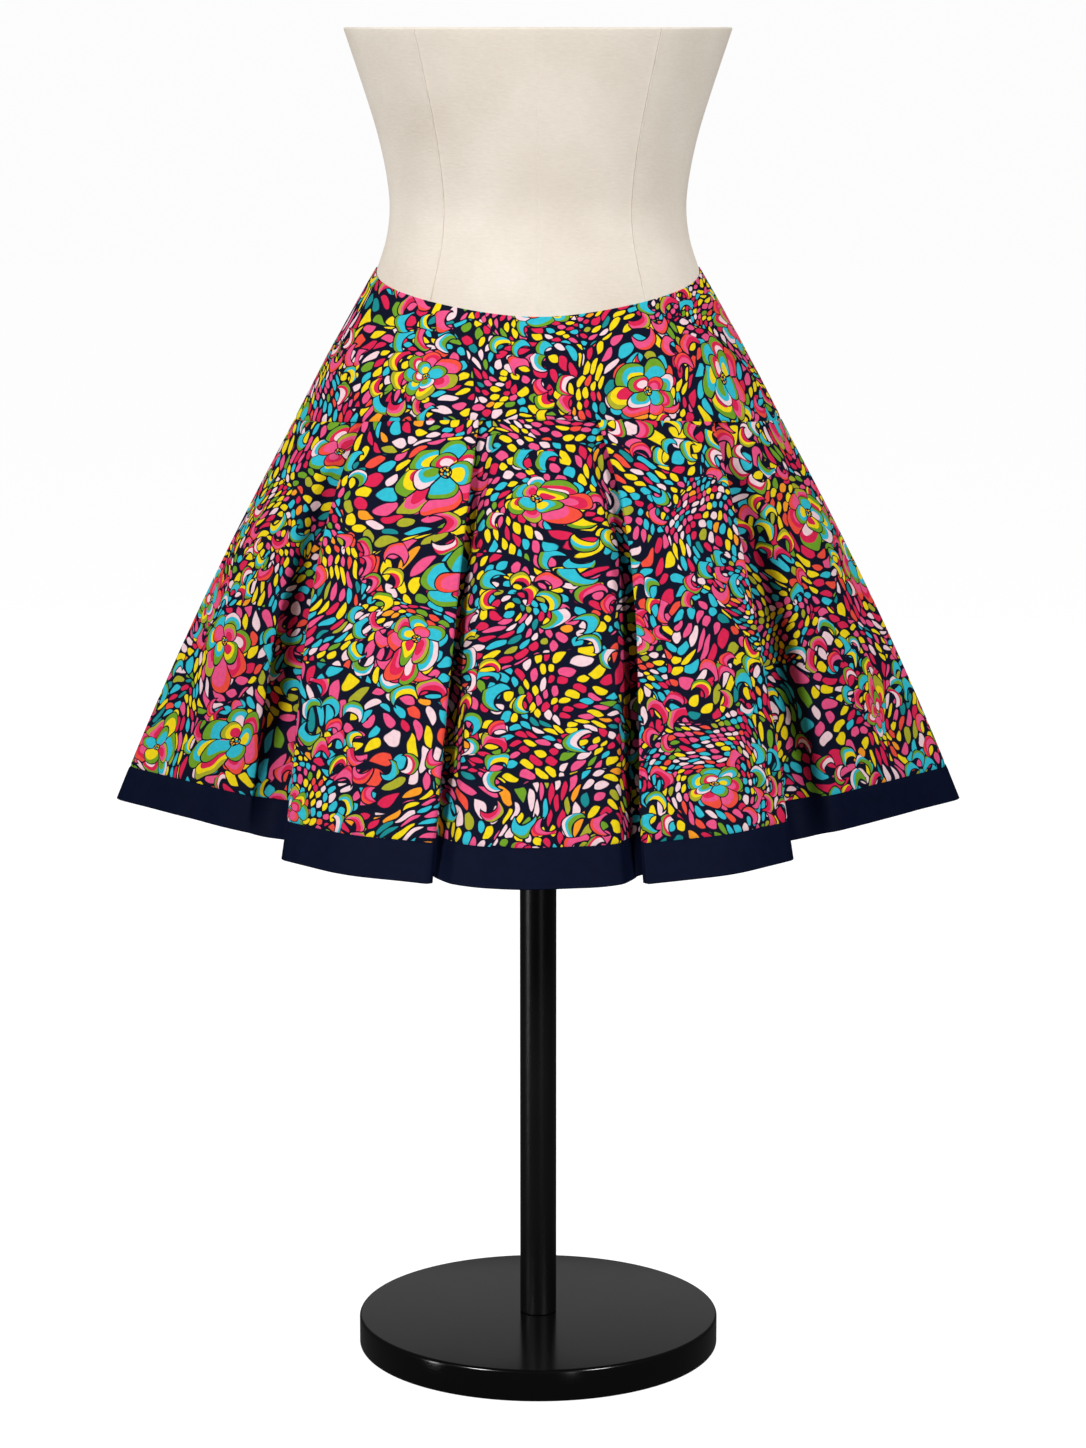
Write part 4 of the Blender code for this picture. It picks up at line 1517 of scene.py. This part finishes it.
@dataclass
class PleatedSkirt:
    """The flared lower part with its box pleats, and the plain band round the hem."""

    shape: SkirtShape
    wardrobe: Wardrobe
    panel_rows: int = 64
    band_rows: int = 6
    panel_thickness: float = 0.9 * MM
    band_thickness: float = 1.5 * MM
    length: float = 310.0 * MM  # about
    band_depth: float = 30.0 * MM  # about
    seam_pucker: Pair = (0.22 * MM, 15.0 * MM)  # height and length
    pucker_fade: float = 10.0 * MM
    hem_wave: Pair = (0.7 * MM, 84.0 * MM)
    tuck: Tuck = field(default_factory=Tuck)

    def creased(
        self, lines: PanelLines, points: np.ndarray, shares: np.ndarray, face: Face
    ) -> np.ndarray:
        """How far each point of a panel is lifted by its soft folds.

        Args:
            lines: the panel's columns.
            points: its points before the folds.
            shares: the rows' shares of its length.
            face: whether it is the front or the back.

        Returns:
            The lift of each point, columns by rows.
        """
        along = distances(points, 0)
        order = np.argsort(lines.places)
        lift = np.zeros(points.shape[:2])
        for crease in FRONT_CREASES if face is Face.FRONT else BACK_CREASES:
            if not lines.places.min() <= crease.at_seam <= lines.places.max():
                continue
            place = crease.at_seam + (crease.at_hem - crease.at_seam) * shares
            columns = zip(place, along[order].T, strict=True)
            middle = [np.interp(at, lines.places[order], row) for at, row in columns]
            off = (along - middle) / (crease.width * MM)
            span = np.clip((shares - crease.start) / (crease.end - crease.start), 0.0, 1.0)
            lift += crease.rise * MM * np.exp(-(off**2)) * np.sin(math.pi * span)
        lift *= np.interp(np.abs(lines.places), FOLDED_UNDER, (1, 1, 0, 0, 1, 1, 0, 0, 1))[:, None]
        edge = puckers(along, *self.seam_pucker) * np.exp(-shares * self.length / self.pucker_fade)
        hem = puckers(along + 0.17, *self.hem_wave) * shares**2
        return lift + edge + hem

    def grid(self, piece: SkirtPiece) -> tuple[np.ndarray, int]:
        """The points of a panel with its band, and the row at which the band starts.

        Args:
            piece: the panel.

        Returns:
            The points and the row.
        """
        lines = self.shape.panel(piece.face, piece.side)
        split = self.shape.band_share(lines)
        panel = fine_shares(self.length, self.panel_rows, self.tuck.rows) * split
        band = fine_shares(self.band_depth, self.band_rows, self.tuck.rows[:3])
        band = split + band * (1.0 - split)
        shares = np.concatenate((panel, band[1:]))
        points = self.shape.panel_points(lines, shares)
        lift = self.creased(lines, points, shares, piece.face)
        return points + outward_normals(points) * lift[..., None], len(panel) - 1

    def build(self) -> None:
        """Makes the panels and the bands."""
        print_finishes = (self.wardrobe.print_face, self.wardrobe.print_reverse)
        for piece in SKIRT_PIECES:
            points, split = self.grid(piece)
            node, band_node = "panel_" + piece.ending, "hem_band_" + piece.ending
            upper, lower = points[:, : split + 1], points[:, split:]
            panel = Sheet(node + "_cloth", upper, self.panel_thickness, piece.shift)
            panel.push(self.tuck.lift(upper))
            made, cut = panel.build(*print_finishes)
            declare_cloth(made, cut, node)
            band = Sheet(band_node + "_cloth", lower, self.band_thickness, straight=True)
            band.push(self.tuck.lift(lower, at_bottom=False))
            made, cut = band.build(self.wardrobe.navy, self.wardrobe.navy)
            declare_cloth(made, cut, band_node)


# ---- The zip ------------------------------------------------------------------------------------
@dataclass
class Zip:
    """The concealed zip at the centre back: its tape, its slider and the tab that swings."""

    shape: SkirtShape
    edge: float = 0.16 * MM
    tape_top: float = 3.0 * MM
    tape_length: float = 178.0 * MM
    tape_width: float = 16.0 * MM
    tape_thickness: float = 0.5 * MM
    tape_inward: float = 1.7 * MM  # behind the cloth's middle
    columns: tuple[float, ...] = (0.5, 0.45, 0.375, 0.25, 0.15, 0.11875, 0.08125, 0.04375, 0.01875)
    coil: float = 0.3 * MM  # how far the coil's two rows of turns stand out of the tape
    coil_place: float = 1.3 * MM  # from the middle of the tape
    coil_width: float = 0.55 * MM
    pitch: float = 1.4 * MM

    def centre_back(self) -> np.ndarray:
        """Points down the middle of the cloth at the centre back, from the waist edge."""
        yoke = [self.shape.yoke_point(math.pi, row / 40)[:] for row in range(41)]
        lines = self.shape.panel(Face.BACK, Side.RIGHT)
        panel = self.shape.panel_points(lines, np.linspace(0.0, 1.0, 81))[0]
        return np.concatenate((np.array(yoke), panel[1:]))

    def tape(self) -> None:
        """Makes the tape, with the coil down its inner face."""
        path = self.centre_back()
        down = distances(path, 0)
        rows = round(self.tape_length / (self.pitch / 2))
        at = self.tape_top + np.linspace(0.0, self.tape_length, rows + 1)
        middle = np.stack([np.interp(at, down, line) for line in path.T], axis=1)
        across = np.array(self.columns) * self.tape_width
        across = np.concatenate((across, [0.0], -across[::-1]))
        points = np.repeat(middle[None, :, :], len(across), axis=0)
        points[..., 0] += across[:, None]
        turns = 0.5 + 0.5 * np.cos(math.tau * (at - at[0]) / self.pitch)
        ridge = np.exp(-(((np.abs(across) - self.coil_place) / self.coil_width) ** 2))
        sheet = Sheet("zip_tape_woven", points, self.tape_thickness)
        sheet.push(-self.tape_inward - self.coil * ridge[:, None] * (0.35 + 0.65 * turns)[None, :])
        woven = WovenTape().make()
        piece, _ = sheet.build(woven, woven)
        declare(piece, "zip_tape")

    def eased(self, node: str, body: str, finish: bpy.types.Material) -> None:
        """Makes a piece from a node's solid with its edges eased, as cast metal has them.

        Args:
            node: the node.
            body: the body that it rides on.
            finish: its material.
        """
        solid = bmesh.new()
        solid.from_mesh(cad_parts[node].data)
        bmesh.ops.remove_doubles(solid, verts=solid.verts, dist=SAME_PLACE)
        bmesh.ops.dissolve_limit(
            solid,
            angle_limit=math.radians(2.0),
            use_dissolve_boundaries=False,
            verts=solid.verts,
            edges=solid.edges,
        )
        sharp = [e for e in solid.edges if e.calc_face_angle(0.0) > math.radians(25.0)]
        bmesh.ops.bevel(
            solid,
            geom=sharp,
            offset=self.edge,
            offset_type="OFFSET",
            segments=2,
            profile=0.5,
            affect="EDGES",
            clamp_overlap=True,
            material=-1,
        )
        declare(finished(node + "_eased", solid, finish, sharp=40.0), node, body)

    def build(self) -> None:
        """Makes the tape, the slider and the tab."""
        enamel = Enamel().make()
        self.tape()
        self.eased("zip_slider", BODY, enamel)
        self.eased("zip_pull", PULL_BODY, enamel)


# ---- The dress form and its stand ---------------------------------------------------------------
class FormSeam(NamedTuple):
    """A seam down the dress form: its angle in degrees and how deep it shows, mm."""

    theta: float
    depth: float


@dataclass
class DressForm:
    """The half torso, covered in linen with princess seams."""

    shape: TorsoShape = field(default_factory=TorsoShape)
    bottom: float = 600.0 * MM
    top: float = 1009.0 * MM
    edge: float = 1.8 * MM
    columns: int = 132
    rows: int = 90
    seams: tuple[FormSeam, ...] = (
        FormSeam(0.0, 0.18),
        FormSeam(36.7, 0.5),
        FormSeam(90.0, 0.45),
        FormSeam(143.3, 0.5),
        FormSeam(180.0, 0.45),
        FormSeam(216.7, 0.5),
        FormSeam(270.0, 0.45),
        FormSeam(323.3, 0.5),
    )
    seam_steps: tuple[float, ...] = (-2.6, -1.7, -1.1, -0.6, -0.25, 0.0, 0.25, 0.6, 1.1, 1.7, 2.6)
    seam_reach: float = 3.2  # mm each side of a seam, where it has no even columns
    radius: float = 125.0  # mm, about
    welt: Pair = (0.9, 1.2)  # height as a share of the seam's depth, and half width in mm
    groove: Pair = (-1.8, 0.42)

    def angles(self) -> list[float]:
        """The columns' angles: even, and close together at each seam."""
        steps = [math.degrees(step / self.radius) for step in self.seam_steps]
        found = [(seam.theta + step) % 360.0 for seam in self.seams for step in steps]
        span = math.degrees(self.seam_reach / self.radius)
        for column in range(self.columns):
            angle = 360.0 * column / self.columns
            if all(abs((angle - seam.theta + 180.0) % 360.0 - 180.0) > span for seam in self.seams):
                found.append(angle)
        return [math.radians(angle) for angle in sorted(found)]

    def relief(self, theta: float) -> float:
        """How far the cover stands out at an angle: a narrow welt with a groove in it."""
        lift = 0.0
        for seam in self.seams:
            turn = (theta - math.radians(seam.theta) + math.pi) % math.tau - math.pi
            for height, width in (self.welt, self.groove):
                lift += seam.depth * height * math.exp(-((turn * self.radius / width) ** 2))
        return lift * MM

    def build(self) -> None:
        """Makes the torso from level rings, each drawn up out of the last."""
        low, high = self.bottom + self.edge, self.top - self.edge
        levels = [(low - self.edge * up, self.edge * (out - 1.0)) for up, out in ROUNDING]
        levels += [(lerp(low, high, row / self.rows), 0.0) for row in range(1, self.rows)]
        levels += [(high + self.edge * up, self.edge * (out - 1.0)) for out, up in ROUNDING]
        angles = self.angles()
        solid = bmesh.new()
        bmesh.ops.create_circle(solid, cap_ends=True, radius=0.1, segments=len(angles))
        self.place(list(solid.verts), angles, *levels[0])
        edge_loop = list(solid.edges)
        for height, out in levels[1:]:
            made = bmesh.ops.extrude_edge_only(solid, edges=edge_loop)["geom"]
            edges = [item for item in made if isinstance(item, bmesh.types.BMEdge)]
            edge_loop = [edge for edge in edges if edge.is_boundary]
            ring = [item for item in made if isinstance(item, bmesh.types.BMVert)]
            self.place(ring, angles, height, out)
        bmesh.ops.contextual_create(solid, geom=edge_loop)
        bmesh.ops.recalc_face_normals(solid, faces=solid.faces)
        piece = finished("form_torso_cover", solid, Linen().make(), sharp=60.0)
        declare(piece, "form_torso")

    def place(
        self, ring: list[bmesh.types.BMVert], angles: list[float], height: float, out: float
    ) -> None:
        """Puts a ring of vertices on the form at a height, that far outside it.

        Args:
            ring: the vertices, in any order.
            angles: where they go, in order.
            height: their height.
            out: how far outside the form they are.
        """
        ring.sort(key=lambda vert: math.atan2(vert.co.x, -vert.co.y) % math.tau)
        level = min(max(height, self.bottom + SAME_PLACE), self.top - SAME_PLACE)
        for vert, theta in zip(ring, angles, strict=True):
            vert.co = self.shape.point(theta, level, out + self.relief(theta))
            vert.co.z = height


@dataclass
class Stand:
    """The pole and the round base."""

    base_radius: float = 139.0 * MM
    base_thickness: float = 24.6 * MM
    rim: float = 2.6 * MM
    pole_radius: float = 14.0 * MM
    pole_top: float = 599.7 * MM
    pole_rim: float = 0.6 * MM
    gap: float = 0.3 * MM
    sides: int = 192

    def turned(
        self, name: str, profile: Sequence[Pair], finish: bpy.types.Material
    ) -> bpy.types.Object:
        """A round piece turned from a profile.

        Args:
            name: the piece's name.
            profile: its (radius, height) points from the bottom up, on the axis at both ends.
            finish: its material.

        Returns:
            The object.
        """
        solid = bmesh.new()
        verts = [solid.verts.new((radius, 0.0, height)) for radius, height in profile]
        edges = [solid.edges.new(pair) for pair in zip(verts, verts[1:])]
        bmesh.ops.spin(
            solid,
            geom=[*verts, *edges],
            cent=(0.0, 0.0, 0.0),
            axis=(0.0, 0.0, 1.0),
            angle=math.tau,
            steps=self.sides,
            use_merge=True,
        )
        bmesh.ops.remove_doubles(solid, verts=solid.verts, dist=SAME_PLACE)
        bmesh.ops.recalc_face_normals(solid, faces=solid.faces)
        return finished(name, solid, finish, sharp=50.0)

    def rounded(self, radius: float, low: float, high: float, rim: float) -> list[Pair]:
        """The profile of a disc whose two rims are rounded.

        Args:
            radius: its radius.
            low: height of its underside.
            high: height of its top.
            rim: the rounding's radius.

        Returns:
            Its (radius, height) points from the bottom up.
        """
        inner = radius - rim
        under = [(inner + rim * out, low + rim - rim * down) for down, out in ROUNDING]
        over = [(inner + rim * out, high - rim + rim * up) for out, up in ROUNDING]
        return [(0.0, low), *under, *over, (0.0, high)]

    def build(self) -> None:
        """Makes the base and the pole."""
        black = SatinPaint().make()
        low = self.base_thickness + self.gap
        for node, profile in (
            ("stand_base", self.rounded(self.base_radius, 0.0, self.base_thickness, self.rim)),
            ("stand_pole", self.rounded(self.pole_radius, low, self.pole_top, self.pole_rim)),
        ):
            declare(self.turned(node + "_turned", profile, black), node)


# ---- The studio ---------------------------------------------------------------------------------
class Lit(Enum):
    """What a lamp lights: the surfaces' own colours, their gloss, or both."""

    BOTH = "both"
    COLOUR = "colour"
    GLOSS = "gloss"


class Lamp(NamedTuple):
    """A soft lamp: its place, its width and height, its power and what it lights."""

    name: str
    place: Triple
    size: Pair
    watts: float
    lit: Lit
    aim: Triple = (0.0, 0.0, 0.65)


@dataclass
class Studio:
    """The floor, the lamps and the camera."""

    camera_place: Triple = (0.0037, -2.8776, 1.0090)
    camera_pitch: float = 10.246  # degrees down
    lens: float = 95.86  # mm, and so is the sensor's width
    sensor_width: float = 36.0
    sight: float = 60.0
    floor_radius: float = 14.0
    floor_gap: float = 0.1 * MM
    world_strength: float = 0.16
    gloss_strength: float = 0.05
    backdrop: float = 0.978  # how white the surroundings look behind the object
    lamps: tuple[Lamp, ...] = (
        Lamp("key", (-1.75, -2.0, 2.0), (0.7, 0.7), 62.0, Lit.BOTH),
        Lamp("fill", (1.75, -2.0, 1.9), (0.7, 0.7), 50.0, Lit.BOTH),
        Lamp("left_side", (-2.4, 0.7, 1.8), (0.9, 0.9), 18.0, Lit.COLOUR),
        Lamp("right_side", (2.4, 0.7, 1.8), (0.9, 0.9), 14.0, Lit.COLOUR),
        Lamp("back", (0.3, 2.6, 2.1), (1.4, 1.4), 50.0, Lit.COLOUR),
        Lamp("back_card", (0.0, 2.6, 0.95), (2.4, 0.9), 1.5, Lit.GLOSS, (0.0, 0.0, 0.1)),
        Lamp("left_strip", (-2.1, -0.9, 0.2), (0.25, 1.3), 9.0, Lit.GLOSS, (0.0, 0.0, 0.2)),
        Lamp("right_strip", (0.8, -2.2, 0.2), (0.2, 1.3), 1.6, Lit.GLOSS, (0.0, 0.0, 0.2)),
    )

    def build(self) -> None:
        """Makes the floor, the lamps and the camera."""
        floor = bmesh.new()
        bmesh.ops.create_circle(floor, cap_ends=True, radius=self.floor_radius, segments=96)
        bmesh.ops.translate(floor, vec=(0.0, 0.0, -self.floor_gap), verts=floor.verts)
        paper = finished("studio_floor", floor, StudioPaper().make(), sharp=60.0)
        paper.visible_diffuse = False  # the glow is for the picture, and doesn't light the folds
        paper.visible_glossy = False
        for lamp in self.lamps:
            self.light(lamp)
        self.world()
        data = bpy.data.cameras.new("camera")
        data.lens = self.lens
        data.sensor_width = self.sensor_width
        data.clip_end = self.sight
        camera = placed("camera", data)
        camera.location = self.camera_place
        camera.rotation_euler = (math.radians(90.0 - self.camera_pitch), 0.0, 0.0)
        bpy.context.scene.camera = camera
        bpy.context.scene.view_settings.view_transform = "Standard"

    def light(self, lamp: Lamp) -> None:
        """Makes one lamp.

        Args:
            lamp: the lamp.
        """
        data = bpy.data.lights.new(lamp.name, "AREA")
        data.shape = "ELLIPSE" if lamp.size[0] == lamp.size[1] else "RECTANGLE"
        data.size, data.size_y = lamp.size
        data.energy = lamp.watts
        made = placed(lamp.name, data)
        made.location = lamp.place
        made.visible_camera = False
        made.visible_diffuse = lamp.lit is not Lit.GLOSS
        made.visible_glossy = lamp.lit is not Lit.COLOUR
        way = Vector(lamp.aim) - Vector(lamp.place)
        made.rotation_euler = way.to_track_quat("-Z", "Y").to_euler()

    def world(self) -> None:
        """Makes the even white surroundings."""
        world = bpy.data.worlds.new("studio")
        bpy.context.scene.world = world
        world.use_nodes = True
        tree = world.node_tree
        sky = tree.nodes["Background"]
        sky.inputs["Color"].default_value = WHITE
        seen = tree.nodes.new("ShaderNodeLightPath")
        around_it, strength = (tree.nodes.new("ShaderNodeMapRange") for _ in range(2))
        around_it.inputs["To Min"].default_value = self.world_strength
        around_it.inputs["To Max"].default_value = self.gloss_strength
        strength.inputs["To Max"].default_value = self.backdrop
        tree.links.new(seen.outputs["Is Glossy Ray"], around_it.inputs["Value"])
        tree.links.new(around_it.outputs[0], strength.inputs["To Min"])
        tree.links.new(seen.outputs["Is Camera Ray"], strength.inputs["Value"])
        tree.links.new(strength.outputs[0], sky.inputs["Strength"])


def main() -> None:
    """Builds the pieces in order."""
    logging.basicConfig(level=logging.INFO, format="%(message)s")
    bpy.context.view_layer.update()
    shape = SkirtShape()
    wardrobe = Wardrobe.filled()
    makers: tuple[Callable[[], None], ...] = (
        Studio().build,
        Stand().build,
        DressForm().build,
        Yoke(shape, wardrobe).build,
        PleatedSkirt(shape, wardrobe).build,
        Zip(shape).build,
    )
    for make in makers:
        make()


if __name__ == "__main__":
    main()
